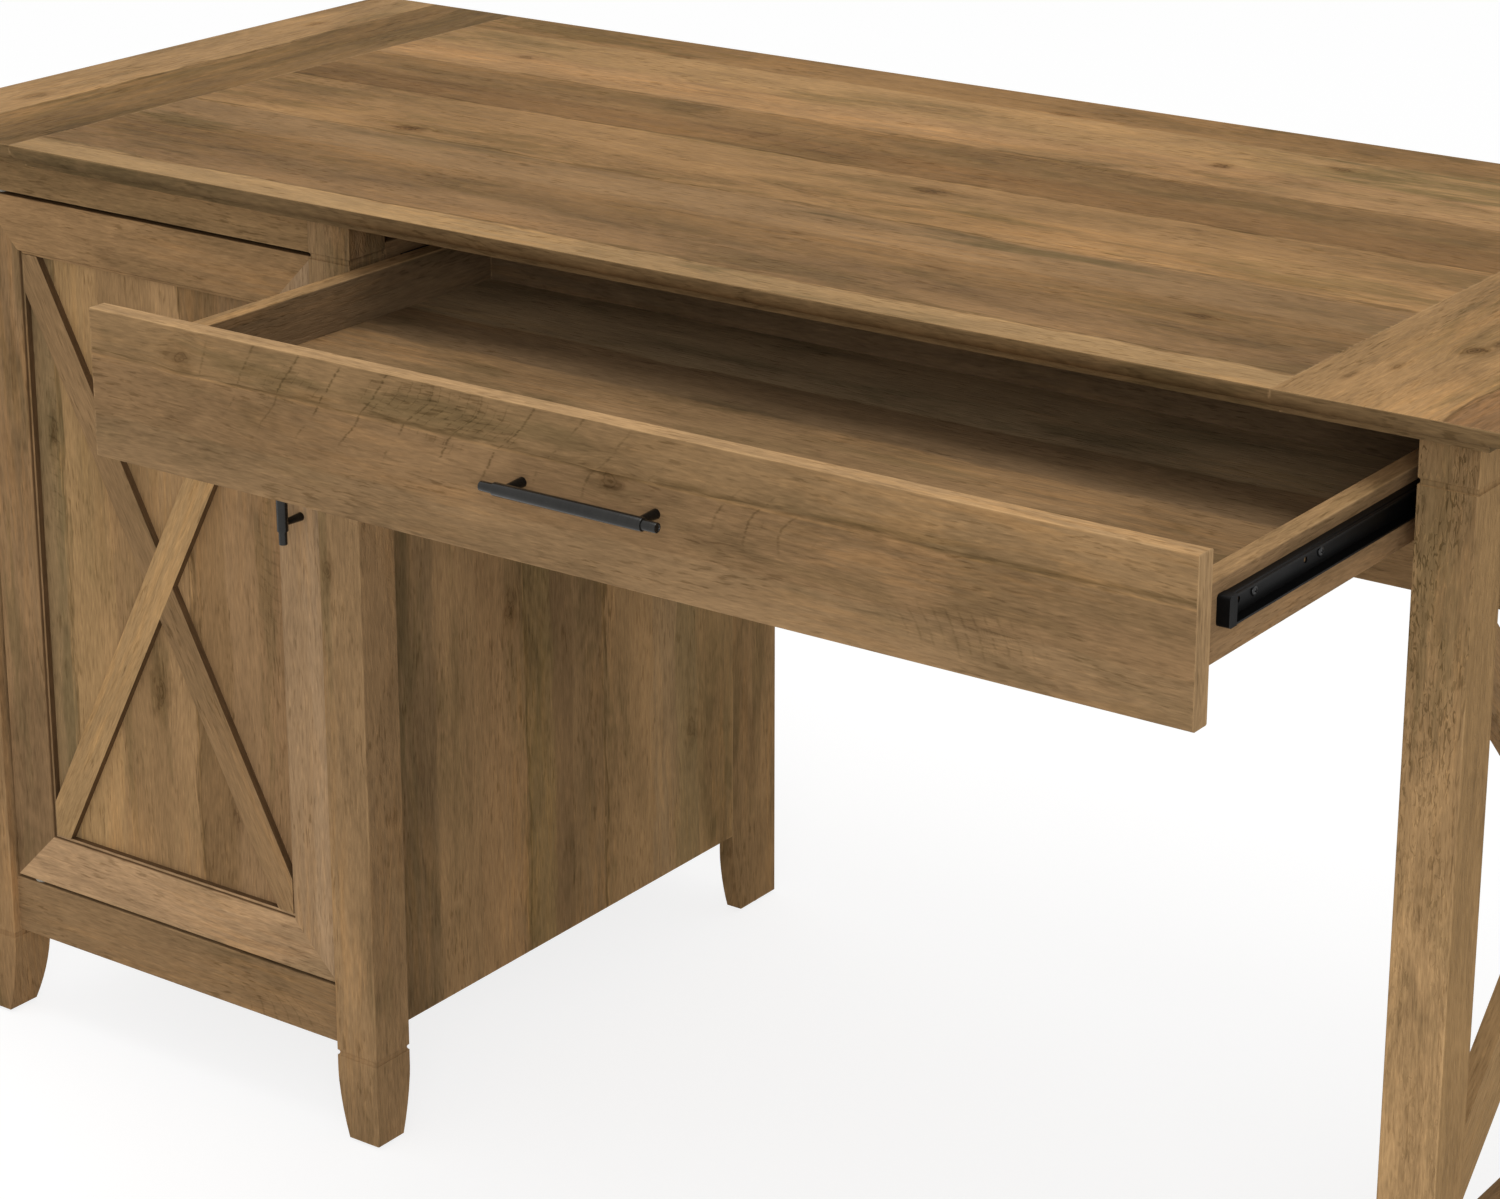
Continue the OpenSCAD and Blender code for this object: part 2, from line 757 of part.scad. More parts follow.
module drawer_left_side() color(oak) drawer_side(box_x);
module drawer_right_side() color(oak) drawer_side(box_x + box_w - side_t);
module drawer_back() {
    color(oak) difference() {
        translate([box_x + side_t, box_y + box_l - side_t, box_z])
            board_x([box_w - 2 * side_t, side_t, side_h]);
        bottom_slot();
    }
}

// ---------- Slides ----------

// Local frame of the left (0) or right (1) slide at depth y
module slide_place(side, y) {
    translate([side == 0 ? x_knee0 : x_knee1, y, slide_z]) mirror([side, 0, 0]) children();
}

module along_y(l) translate([0, l, 0]) rotate([90, 0, 0]) linear_extrude(l) children();
module race_lines() for (s = [-1, 1]) translate([ball_x, s * ball_z]) circle(ball_r + race_play);

// C channel against the desk, with flanges turned in over the balls
module outer_section() {
    lip_t = 0.8;
    lip_h = 1.2;
    inside = outer_h - 2 * sheet_t;
    difference() {
        translate([0, -outer_h / 2]) square([outer_reach, outer_h]);
        translate([sheet_t, -inside / 2]) square([outer_reach - sheet_t - lip_t, inside]);
        translate([sheet_t, lip_h - inside / 2]) square([outer_reach, inside - 2 * lip_h]);
        race_lines();
    }
}

// C channel against the drawer side, inside the outer one
module inner_section() {
    inside = inner_h - 2 * sheet_t;
    difference() {
        translate([slide_w - inner_reach, -inner_h / 2]) square([inner_reach, inner_h]);
        translate([slide_w - inner_reach - cut, -inside / 2])
            square([inner_reach - sheet_t + cut, inside]);
        race_lines();
    }
}

module outer_screw_places(side) {
    slide_place(side, y_outer) for (y = outer_screws)
        translate([sheet_t, y, 0]) rotate([0, -90, 0]) children();
}

module inner_screw_places() {
    for (side = [0, 1]) slide_place(side, y_inner) for (y = inner_screws)
        translate([slide_w - sheet_t, y, 0]) rotate([0, 90, 0]) children();
}

module slide_outer(side) {
    color(black_metal) difference() {
        slide_place(side, y_outer) along_y(slide_l) outer_section();
        outer_screw_places(side) pilot();
    }
}

module slide_inner(side) {
    color(black_metal) difference() {
        slide_place(side, y_inner) along_y(slide_l) inner_section();
        inner_screw_places() pilot();
        slide_place(side, y_inner) for (y = inner_slots)
            translate([slide_w - sheet_t - cut, y, 0]) rod_x(slot_r, sheet_t + 2 * cut);
    }
}

module slide_outer_left() slide_outer(0);
module slide_outer_right() slide_outer(1);
module slide_inner_left() slide_inner(0);
module slide_inner_right() slide_inner(1);

// Sheet cage that spaces two rows of balls
module ball_cage(side) {
    window_z = inner_h / 2 - cage_margin;
    color(steel) slide_place(side, y_cage) difference() {
        along_y(cage_l) union() {
            translate([cage_x, -ball_z - cage_t / 2]) square([cage_t, 2 * ball_z + cage_t]);
            for (s = [-1, 1]) translate([cage_x, s * ball_z - cage_t / 2]) square([cage_depth, cage_t]);
        }
        ball_places() translate([0, 0, -cage_t]) rod_z(ball_r + race_play / 2, 2 * cage_t);
        translate([cage_x - cut, cage_l / 6, -window_z])
            cube([cage_t + 2 * cut, cage_l * 2 / 3, 2 * window_z]);
    }
}

module ball_places() {
    for (s = [-1, 1], i = [0 : balls_per_row - 1])
        translate([ball_x, first_ball + i * ball_pitch, s * ball_z]) children();
}

module slide_balls(side) color(steel) slide_place(side, y_cage) ball_places() sphere(ball_r, $fn = 24);

module ball_cage_left() ball_cage(0);
module ball_cage_right() ball_cage(1);
module slide_balls_left() slide_balls(0);
module slide_balls_right() slide_balls(1);

module slide_bumpers() {
    h = inner_h + bumper_rise;
    color(black_metal) for (side = [0, 1]) slide_place(side, y_inner - bumper_l)
        translate([slide_w - inner_reach, 0, 0]) rotate([90, 0, 90]) linear_extrude(inner_reach) hull() {
            for (s = [-1, 1]) translate([bumper_corner, s * (h / 2 - bumper_corner)]) circle(bumper_corner);
            translate([bumper_corner, -h / 2]) square([bumper_l - bumper_corner, h]);
        }
}

module desk_slide_screws() {
    color(steel) for (side = [0, 1]) outer_screw_places(side) wood_screw();
}

module drawer_slide_screws() color(steel) inner_screw_places() wood_screw();

// ---------- Pulls ----------

// Bar along X with stepped tips, chamfered at each end and step
module pull_bar() {
    tip = (pull_l - pull_main_l) / 2;
    color(black_metal) translate([-pull_l / 2, 0, 0]) rotate([0, 90, 0]) rotate_extrude() polygon([
        [0, 0], [pull_tip_r - pull_chamfer, 0], [pull_tip_r, pull_chamfer],
        [pull_tip_r, tip], [pull_r - pull_chamfer, tip], [pull_r, tip + pull_chamfer],
        [pull_r, pull_l - tip - pull_chamfer], [pull_r - pull_chamfer, pull_l - tip],
        [pull_tip_r, pull_l - tip], [pull_tip_r, pull_l - pull_chamfer],
        [pull_tip_r - pull_chamfer, pull_l], [0, pull_l]
    ]);
}

// A pull's parts stand on the plane y = 0, with the bar's axis at y = -pull_standoff
module pull_posts() {
    color(black_metal) for (x = [-1, 1] * pull_spacing / 2) difference() {
        translate([x, -pull_standoff, 0]) rotate([-90, 0, 0])
            cylinder(r1 = pull_neck_r, r2 = pull_post_r, h = pull_standoff);
        translate([-pull_l / 2, -pull_standoff, 0]) rod_x(pull_r + pin_fit, pull_l);
        translate([x, -pull_thread_l - fit, 0]) rod_y(pull_screw_r + pin_fit, pull_thread_l + fit + cut);
    }
}

module pull_holes(t) {
    for (x = [-1, 1] * pull_spacing / 2)
        translate([x, -cut, 0]) rod_y(pull_screw_r + pull_hole_play, t + 2 * cut);
}

// Machine screws through a board of thickness t, with their heads on its back
module pull_screws(t) {
    color(steel) for (x = [-1, 1] * pull_spacing / 2) translate([x, 0, 0]) {
        translate([0, -pull_thread_l, 0]) rod_y(pull_screw_r, pull_thread_l + t);
        translate([0, t, 0]) rod_y(pull_head_r, pull_head_h);
    }
}

module drawer_pull_place() {
    translate([(x_knee0 + x_knee1) / 2, y_drawer, front_z + drawer_pull_z]) children();
}

module door_pull_place() {
    translate([x_door1 - door_gap - door_frame_w / 2, y_face, door_z + door_pull_z])
        rotate([0, 90, 0]) children();
}

module drawer_pull_bar() drawer_pull_place() translate([0, -pull_standoff, 0]) pull_bar();
module drawer_pull_posts() drawer_pull_place() pull_posts();
module drawer_pull_screws() drawer_pull_place() pull_screws(front_t);
module door_pull_bar() door_pull_place() translate([0, -pull_standoff, 0]) pull_bar();
module door_pull_posts() door_pull_place() pull_posts();
module door_pull_screws() door_pull_place() pull_screws(door_t);

// ---------- Brackets and glides ----------

// Places of the angle brackets, each with X out from the wall that it stands against and Z up
module bracket_places() {
    y_mid = (y_behind_posts + y_rear_leg) / 2;
    for (y = [y_mid - bracket_spread, y_mid + bracket_spread]) {
        translate([x_door0, y, z_under]) children();
        translate([x_door1, y, z_under]) rotate(180) children();
        translate([x_knee1, y, z_under]) rotate(180) children();
    }
    for (x = [x_knee0 + knee_w / 4, x_knee1 - knee_w / 4])
        translate([x, y_back_panel, z_under]) rotate(-90) children();
}

// Screw axes of the brackets, up into the desktop or into the wall
module bracket_screw_places(wall = false) {
    at = bracket_t + (bracket_leaf - bracket_t) * bracket_hole;
    bracket_places() {
        if (wall) translate([bracket_t, 0, -at]) rotate([0, -90, 0]) children();
        else translate([at, 0, -bracket_t]) children();
    }
}

module top_brackets() {
    color(steel) {
        difference() {
            bracket_places() {
                translate([0, -bracket_w / 2, -bracket_leaf]) cube([bracket_t, bracket_w, bracket_leaf]);
                translate([0, -bracket_w / 2, -bracket_t]) cube([bracket_leaf, bracket_w, bracket_t]);
            }
            bracket_screw_places() pilot();
            bracket_screw_places(wall = true) pilot();
        }
        bracket_screw_places() wood_screw();
        bracket_screw_places(wall = true) wood_screw();
    }
}

module glide(r) {
    cylinder(r1 = r - glide_chamfer, r2 = r, h = glide_chamfer);
    translate([0, 0, glide_chamfer]) cylinder(r = r, h = glide_t - glide_chamfer);
}

module foot_glides() {
    mid = (post_w + foot_taper) / 2;
    board_mid = (rear_leg_w + rear_foot_taper) / 2;
    color(nylon) {
        translate([x_door0 - mid, y_front + post_w - mid, 0]) glide(post_glide_r);
        for (x = [x_door1, x_knee1]) translate([x + mid, y_front + post_w - mid, 0]) glide(post_glide_r);
        for (x = [x_left_board, x_door1, x_knee1])
            translate([x + board_t / 2, y_rear_leg + board_mid, 0]) glide(board_glide_r);
    }
}

desktop_field();
breadboard_left();
breadboard_right();
pedestal_left_post();
pedestal_right_post();
pedestal_left_panel();
pedestal_right_panel();
pedestal_left_rear_leg();
pedestal_right_rear_leg();
pedestal_back_panel();
pedestal_floor();
pedestal_top_rail();
pedestal_bottom_rail();
adjustable_shelf();
shelf_pins();
right_front_leg();
right_rear_leg();
right_top_rail();
right_bottom_rail();
end_brace_long();
end_brace_upper();
end_brace_lower();
modesty_panel();
slide_cleat();
slide_outer_left();
slide_outer_right();
slide_inner_left();
slide_inner_right();
ball_cage_left();
ball_cage_right();
slide_balls_left();
slide_balls_right();
slide_bumpers();
desk_slide_screws();
drawer_slide_screws();
drawer_front();
drawer_left_side();
drawer_right_side();
drawer_back();
drawer_bottom();
drawer_pull_bar();
drawer_pull_posts();
drawer_pull_screws();
door_hinge_stile();
door_pull_stile();
door_top_rail();
door_bottom_rail();
door_panel();
door_brace_long();
door_brace_upper();
door_brace_lower();
door_pull_bar();
door_pull_posts();
door_pull_screws();
hinge_pins();
hinge_bushes();
magnet_catch();
strike_plate();
top_brackets();
foot_glides();
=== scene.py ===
"""Looks of the straight single-pedestal desk: printed oak boards, black slides and pulls, small hardware."""

import json
import logging
import math
from dataclasses import dataclass
from enum import Enum
from functools import reduce
from typing import Union

import bmesh
import bpy
from mathutils import Matrix, Vector

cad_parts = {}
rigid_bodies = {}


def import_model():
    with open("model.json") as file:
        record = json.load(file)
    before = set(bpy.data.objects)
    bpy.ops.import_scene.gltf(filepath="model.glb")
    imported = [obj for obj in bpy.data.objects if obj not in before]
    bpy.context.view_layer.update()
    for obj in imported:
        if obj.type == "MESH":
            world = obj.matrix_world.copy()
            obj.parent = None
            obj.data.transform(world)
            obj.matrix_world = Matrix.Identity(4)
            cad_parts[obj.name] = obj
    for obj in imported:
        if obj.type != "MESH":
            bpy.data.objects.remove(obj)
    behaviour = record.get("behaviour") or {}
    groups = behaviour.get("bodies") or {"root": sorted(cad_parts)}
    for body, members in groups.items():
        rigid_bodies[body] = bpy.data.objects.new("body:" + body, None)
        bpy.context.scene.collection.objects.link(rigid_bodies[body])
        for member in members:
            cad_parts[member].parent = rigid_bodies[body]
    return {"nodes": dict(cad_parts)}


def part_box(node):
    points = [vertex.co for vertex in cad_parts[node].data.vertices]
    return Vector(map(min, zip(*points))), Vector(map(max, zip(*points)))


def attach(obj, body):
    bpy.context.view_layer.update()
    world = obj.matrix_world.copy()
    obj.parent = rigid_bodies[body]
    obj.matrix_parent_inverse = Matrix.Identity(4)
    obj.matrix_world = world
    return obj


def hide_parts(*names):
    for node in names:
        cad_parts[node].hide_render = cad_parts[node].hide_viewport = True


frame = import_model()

LOG = logging.getLogger("desk")
MM = 0.001
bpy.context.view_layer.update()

Point = tuple[float, float, float]
Tone = tuple[int, int, int]
Colour = tuple[float, float, float, float]
Box = tuple[Vector, Vector]
Socket = bpy.types.NodeSocket
Material = bpy.types.Material
Mesh = bpy.types.Mesh
Number = Union["Val", float]


class Axis(Enum):
    """An axis of the desk's frame, by its place in a vector."""

    X = 0
    Y = 1
    Z = 2


X, Y, Z = Axis


class Slot(Enum):
    """Material slots of the record, passed along with the new pieces but not used by the script."""

    BLACK_PULL = "black_pull"
    BLACK_STEEL = "black_steel"
    ZINC = "zinc"
    BALL_STEEL = "ball_steel"


class Tint(Enum):
    """What a layer of the oak print multiplies the board's colour by."""

    GOLD = (1.26, 1.17, 1.04)
    STAIN = (0.60, 0.66, 0.62)
    DASH = (0.50, 0.47, 0.41)
    FLECK = (1.28, 1.25, 1.20)
    MARK = (0.46, 0.46, 0.41)
    LIGHT_SEAM = (1.28, 1.25, 1.18)
    CHIP = (0.46, 0.45, 0.39)
    RIDGE = (1.32, 1.28, 1.22)
    KNOT_EDGE = (0.62, 0.58, 0.52)
    KNOT_CORE = (0.38, 0.33, 0.27)


@dataclass(frozen=True)
class Layer:
    """Stretched noise: features per metre along each axis, octaves, weight of the finer ones, distortion."""

    scale: Point
    detail: float = 2.0
    rough: float = 0.5
    wander: float = 0.0


def linear(tone: Tone) -> Colour:
    """Turns a display colour into a shader colour.

    Args:
        tone: Red, green and blue from 0 to 255.

    Returns:
        The linear colour with an alpha of 1.
    """
    parts = [c / 255 for c in tone]
    flat = [c / 12.92 if c <= 0.04045 else ((c + 0.055) / 1.055) ** 2.4 for c in parts]
    return (flat[0], flat[1], flat[2], 1.0)


def grey(value: float) -> Colour:
    """Returns a neutral shader colour of one value."""
    return (value, value, value, 1.0)


# ---------- Node trees ----------


class Wiring:
    """A node tree under construction."""

    def __init__(self, tree: bpy.types.NodeTree) -> None:
        """Takes the tree up."""
        self.tree = tree

    def node(self, kind: str, settings: dict[str, object], inputs: dict[int | str, object]) -> bpy.types.Node:
        """Adds a node.

        Args:
            kind: The node's type.
            settings: Its properties; "stops" fills a colour ramp, and "ramp" says how it blends.
            inputs: A value, colour, Val or socket for each input.

        Returns:
            The new node.
        """
        made = self.tree.nodes.new(kind)
        for key, value in settings.items():
            if key == "stops":
                self._fill_ramp(made.color_ramp, value)
            elif key == "ramp":
                made.color_ramp.interpolation = value
            else:
                setattr(made, key, value)
        for key, value in inputs.items():
            self.put(made.inputs[key], value)
        return made

    def out(self, kind: str, settings: dict[str, object], inputs: dict[int | str, object],
            output: int | str = 0) -> Socket:
        """Adds a node and returns one of its outputs."""
        return self.node(kind, settings, inputs).outputs[output]

    @staticmethod
    def _fill_ramp(ramp: bpy.types.ColorRamp, stops: list[tuple[float, Colour]]) -> None:
        """Sets a colour ramp's stops from (position, colour) pairs."""
        while len(ramp.elements) > 1:
            ramp.elements.remove(ramp.elements[-1])
        ramp.elements[0].position, ramp.elements[0].color = stops[0]
        for position, colour in stops[1:]:
            ramp.elements.new(position).color = colour

    def put(self, socket: Socket, value: object) -> None:
        """Links a Val or socket into an input, or sets the input's own value."""
        if isinstance(value, Val):
            value = value.socket
        if isinstance(value, Socket):
            self.tree.links.new(value, socket)
        elif socket.type == "VECTOR":
            socket.default_value = tuple(value)[:3]
        else:
            socket.default_value = value


class Val:
    """A shader socket that takes part in Python arithmetic."""

    def __init__(self, bench: "Bench", socket: Socket) -> None:
        """Wraps a value socket of a bench's tree."""
        self.bench = bench
        self.socket = socket

    def math(self, operation: str, *others: Number) -> "Val":
        """Adds one Math node, with the other operands that its operation takes."""
        inputs = dict(enumerate([self, *others]))
        return Val(self.bench, self.bench.out("ShaderNodeMath", {"operation": operation}, inputs))

    def __add__(self, other: Number) -> "Val":
        """Returns the sum."""
        return self.math("ADD", other)

    __radd__ = __add__

    def __mul__(self, other: Number) -> "Val":
        """Returns the product."""
        return self.math("MULTIPLY", other)

    __rmul__ = __mul__

    def __sub__(self, other: Number) -> "Val":
        """Returns the difference."""
        return self.math("SUBTRACT", other)

    def __rsub__(self, other: Number) -> "Val":
        """Returns the difference from a number."""
        return (self * -1.0) + other

    def __truediv__(self, other: Number) -> "Val":
        """Returns the quotient."""
        return self.math("DIVIDE", other)

    def __abs__(self) -> "Val":
        """Returns the value without its sign."""
        return self.math("ABSOLUTE")

    def low(self, other: Number) -> "Val":
        """Returns the lower of the two."""
        return self.math("MINIMUM", other)

    def high(self, other: Number) -> "Val":
        """Returns the higher of the two."""
        return self.math("MAXIMUM", other)

    def swing(self, size: float) -> "Val":
        """Turns noise round 0.5 into a swing of that size round 0."""
        return (self - 0.5) * size

    def ramp(self, start: float, end: float) -> "Val":
        """Rises smoothly from 0 at start to 1 at end, or falls where end is the lower one."""
        settings = {"interpolation_type": "SMOOTHSTEP", "clamp": True}
        inputs = {0: self, 1: min(start, end), 2: max(start, end), 3: 0.0, 4: 1.0}
        rising = Val(self.bench, self.bench.out("ShaderNodeMapRange", settings, inputs))
        return rising if end >= start else 1 - rising


class Bench(Wiring):
    """A material under construction, with its Principled shader."""

    def __init__(self, name: str, space: str = "3D") -> None:
        """Starts an empty material of that name, whose noise is "2D" or "3D"."""
        self.material = bpy.data.materials.new(name)
        self.material.use_nodes = True
        super().__init__(self.material.node_tree)
        self.shader = self.tree.nodes["Principled BSDF"]
        self.space = space

    def place(self) -> Socket:
        """Returns the Object coordinates, which are the desk's frame in metres."""
        return self.out("ShaderNodeTexCoord", {}, {}, "Object")

    def vector(self, operation: str, a: object, b: object) -> Socket:
        """Adds one Vector Math node and returns its vector."""
        return self.out("ShaderNodeVectorMath", {"operation": operation}, {0: a, 1: b})

    def length(self, vector: Socket) -> Val:
        """Returns a vector's length."""
        return Val(self, self.out("ShaderNodeVectorMath", {"operation": "LENGTH"}, {0: vector}, "Value"))

    def parts(self, vector: Socket) -> list[Val]:
        """Returns a vector's three parts."""
        return [Val(self, out) for out in self.node("ShaderNodeSeparateXYZ", {}, {0: vector}).outputs]

    def joined(self, x: object, y: object, z: object) -> Socket:
        """Returns a vector of three values."""
        return self.out("ShaderNodeCombineXYZ", {}, {0: x, 1: y, 2: z})

    def _texture(self, at: Socket, layer: Layer) -> bpy.types.Node:
        """Adds a Noise Texture node on coordinates that the layer stretches."""
        inputs = {"Vector": self.vector("MULTIPLY", at, layer.scale), "Scale": 1.0, "Detail": layer.detail,
                  "Roughness": layer.rough, "Distortion": layer.wander}
        return self.node("ShaderNodeTexNoise", {"noise_dimensions": self.space}, inputs)

    def noise(self, at: Socket, layer: Layer) -> Val:
        """Returns noise round 0.5 at coordinates in metres."""
        return Val(self, self._texture(at, layer).outputs[0])

    def trio(self, at: Socket, layer: Layer) -> list[Val]:
        """Returns three unlike noises round 0.5 from one node."""
        return self.parts(self._texture(at, layer).outputs[1])

    def blend(self, factor: object, a: object, b: object) -> Socket:
        """Goes from vector a to vector b by a factor."""
        return self.out("ShaderNodeMix", {"data_type": "VECTOR"}, {0: factor, 4: a, 5: b}, 1)

    def mix(self, factor: object, a: object, b: object, how: str = "MIX") -> Socket:
        """Lays colour b over colour a by a factor and returns the colour."""
        settings = {"data_type": "RGBA", "blend_type": how, "clamp_factor": True}
        return self.out("ShaderNodeMix", settings, {0: factor, 6: a, 7: b}, 2)

    def tint(self, factor: object, colour: object, tint: Tint) -> Socket:
        """Multiplies a colour by a tint, by a factor."""
        return self.mix(factor, colour, (*tint.value, 1.0), "MULTIPLY")

    def scaled(self, colour: object, factor: Val) -> Socket:
        """Brightens or darkens a colour by a factor."""
        return self.out("ShaderNodeVectorMath", {"operation": "SCALE"}, {0: colour, "Scale": factor})

    def bump(self, height: Val, strength: float, distance: float) -> None:
        """Feeds a height in metres times distance into the shader's normal."""
        inputs = {"Strength": strength, "Distance": distance, "Height": height}
        self.put(self.shader.inputs["Normal"], self.out("ShaderNodeBump", {}, inputs))

    def finish(self, **inputs: object) -> Material:
        """Sets the shader's inputs, with _ for a space, and returns the material."""
        for key, value in inputs.items():
            self.put(self.shader.inputs[key.replace("_", " ")], value)
        return self.material


# ---------- Finishes ----------


@dataclass(frozen=True)
class Plank:
    """One printed plank: where it starts across the board, in mm, and its tone."""

    start: float
    tone: Tone


@dataclass(frozen=True)
class Spot:
    """An oval on the board: its middle and half sizes along and across the grain in mm, and its strength."""

    along: float
    across: float
    reach: float
    width: float
    strength: float = 1.0


@dataclass(frozen=True)
class SawMarks:
    """Slanted saw lines inside an oval, with their pitch in mm and their slant."""

    area: Spot
    pitch: float
    slant: float


@dataclass(frozen=True)
class SawSet:
    """One set of parallel saw lines: along the grain or not, times finer, width in mm, patches, share."""

    along: bool
    finer: float
    width: float
    patches: tuple[float, float]
    share: float = 1.0


@dataclass(frozen=True)
class EdgingAndLitTop:
    """Upper face of a board along an axis, and its tone: glued edging, and on top faces a painted highlight,
    lighter because they face up.
    """

    axis: Axis
    tone: Tone


@dataclass(frozen=True)
class Rim:
    """Moulded edge of the desktop, printed along its length; sizes in mm."""

    # Softness of the mitre and of the moulding's two borders, in metres.
    MITRE, INNER_FADE, TOP_FADE = 0.0003, 0.002, (0.0001, 0.0006)

    tone: Tone = (112, 90, 62)
    x_end: float = 685.5
    y_front: float = -173.3
    y_back: float = 426.7
    top: float = 762.0
    width: float = 19.0

    def lay(self, bench: Bench, place: Socket) -> tuple[Val, Socket]:
        """Returns the moulding's mask, and coordinates that run along it and mitre at the corners."""
        x, y, z = bench.parts(place)
        from_end = self.x_end * MM - abs(x)
        from_front = (y - self.y_front * MM).low(self.y_back * MM - y)
        at_end = (from_front - from_end).ramp(-self.MITRE, self.MITRE)
        nearest = from_end.low(from_front)
        mask = z.ramp(self.top * MM - self.TOP_FADE[0], self.top * MM - self.TOP_FADE[1])
        mask = mask * nearest.ramp(self.width * MM + self.INNER_FADE, self.width * MM)
        return mask, bench.joined(x + (y - x) * at_end, z, nearest)


@dataclass(frozen=True)
class OakPrint:
    """Printed oak: planks side by side, with grain, knots, stains, saw marks, lighter long edges, and painted
    light and shade; sizes in mm.
    """

    name: str
    boards: tuple[str, ...]
    grain: Axis
    across: Axis
    planks: tuple[Plank, ...]
    seed: float
    turn: float = 0.0
    # Brightness factors along the grain, at places in mm: painted light and shade, with some of the print's
    # own tone.
    painted_light_and_tone: tuple[tuple[float, float], ...] = ()
    seams: tuple[float, ...] = ()
    knots: tuple[Spot, ...] = ()
    stains: tuple[Spot, ...] = ()
    saw: tuple[SawMarks, ...] = ()
    bands: tuple[EdgingAndLitTop, ...] = ()
    rim: Rim | None = None
    weather: float = 0.0
    contrast: float = 1.0
    stain: float = 0.5
    feather: float = 1.0
    # Painted shade: a darker tone for the faces across the thickness, which turn away from the light.
    sides: Tone | None = None

    def print_boards(self) -> None:
        """Prints each of its boards."""
        for board in self.boards:
            dress(board, Printer(self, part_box(board)).material())


class Printer:
    """Prints one board: lays the layers of an oak print over each other."""

    # Noises, from the slow sway of the grain to its fibres, and those of the knots and the weathering.
    WARP = Layer((2.6, 13.0, 0.0), 2.0, 0.55)
    FRAY = Layer((11.0, 80.0, 0.0), 3.0, 0.65)
    MOTTLE = Layer((10.0, 36.0, 0.0), 3.0, 0.62, 0.6)
    STREAK = Layer((13.0, 160.0, 0.0), 3.0, 0.62)
    FIBRE = Layer((90.0, 800.0, 0.0), 1.0, 0.55)
    DASH = Layer((58.0, 430.0, 0.0), 2.0, 0.55)
    KNOT = Layer((60.0, 130.0, 0.0), 2.0, 0.65)
    CHIP = Layer((120.0, 470.0, 0.0), 1.5, 0.6, 1.0)
    CHIP_ZONE = Layer((10.0, 60.0, 0.0), 2.0, 0.5)

    # Swings of the coordinates, in metres: plank joints, the grain, the saw lines and the fine seams.
    JOINT_FRAY, JOINT_SWAY, GRAIN_SWAY = 0.018, 0.008, 0.014
    SAW_SWAY, SAW_GRIT, CROSS_GRIT, SEAM_GRIT = 0.045, 0.0025, 0.003, 0.0015
    SEED_STEP = (3.17, 1.31)
    THROUGH = 0.83
    LANE_STEP, LANE_JUMP = 0.37, 11.0

    # Swings of the brightness, round a mean.
    MEAN, BROAD_SWING, MOTTLE_SWING, STREAK_SWING = 1.03, 0.95, 0.62, 0.50
    FIBRE_SWING, GRIT_SWING = 0.42, 0.38
    BAND_STREAK, SIDE_STREAK, PLAIN_FIBRE = 0.9, 0.7, 0.5

    # Noise values between which a layer goes from nothing to all of its strength.
    GLOW_WARM, GLOW_GOLD = (0.44, 0.70), (0.38, 0.66)
    DASHES, DASH_CROWDS = (0.54, 0.70), (0.42, 0.68)
    FLECKS, FLECK_PINS = (0.56, 0.72), (0.42, 0.62)
    STAIN_BROAD, STAIN_DRIFT = (0.56, 0.36), (0.44, 0.64)
    DARK_SEAM_STREAK, LIGHT_SEAM_STREAK = (0.36, 0.58), (0.66, 0.48)
    SAW_BROKEN, SMUDGE = (0.30, 0.50), (0.52, 0.66)
    CHIPS, CHIP_ZONES, RIDGES, RIDGE_GAPS = (0.52, 0.66), (0.36, 0.58), (0.54, 0.68), (0.40, 0.6)
    WEAR_STREAK, FACING = (0.40, 0.60), (0.80, 0.45)

    # Distances, in metres or in an oval's half sizes, between which a layer fades in.
    BAND_FACE, WORN_EDGE = (0.0007, 0.0004), (0.0016, 0.0003)
    DARK_SEAM_WIDTH, LIGHT_SEAM_WIDTH = (0.0034, 0.0004), (0.0013, 0.0004)
    KNOT_EDGE, KNOT_CORE, KNOT_RING, KNOT_PUSH = (2.0, 0.4), (1.15, 0.15), (0.35, 0.9), (3.0, 0.0)
    STAIN_EDGE, SAW_EDGE, WEATHER_RISE = (1.3, 0.1), (1.1, 0.5), (0.36, 0.62)
    RAGGED_KNOT, TORN_STAIN, TORN_SAW = 1.8, 3.4, 1.6

    # A knot's rings per half size, the least strength between them, and how far it pushes the grain.
    KNOT_RINGS, CORE_LEAST, GRAIN_PUSH = 2.3, 0.45, 0.75

    # Shares of the layers.
    GLOW, DASH_SHARE, FLECK, KNOT_HALO, WEAR, SIDE = 0.7, 0.62, 0.5, 0.6, 0.4, 0.9
    DARK_SEAM, LIGHT_SEAM, SMUDGE_SHARE, RIDGE_SHARE, LOW_DOWN = 0.75, 0.9, 0.26, 0.8, 0.35

    # Plank joints in mm: the softness of the step in tone, the end of the ramps, and the seams' lines.
    SOFT_STEP, LEAST_STEP, PAST_LAST = 1.6, 0.2, 400.0
    DARK_SEAM_AT, LIGHT_SEAM_AT = 1.2, -1.4
    SAW_SETS = (SawSet(False, 1.0, 1.7, (0.32, 0.46)), SawSet(False, 5.1, 1.2, (0.51, 0.62), 0.75),
                SawSet(True, 4.6, 1.0, (0.52, 0.63), 0.55))
    CROSS_TILT = 0.06

    WORN: Tone = (178, 145, 104)
    ROUGH, STREAK_ROUGH, DASH_ROUGH, WEAR_SMOOTH = 0.60, 0.25, 0.12, 0.06
    SPECULAR = 0.01
    BUMP, BUMP_DEPTH = 0.45, 0.0005
    GRAIN_RELIEF, DASH_RELIEF, RIDGE_RELIEF, CHIP_RELIEF = 0.6, 0.8, 1.2, 1.8

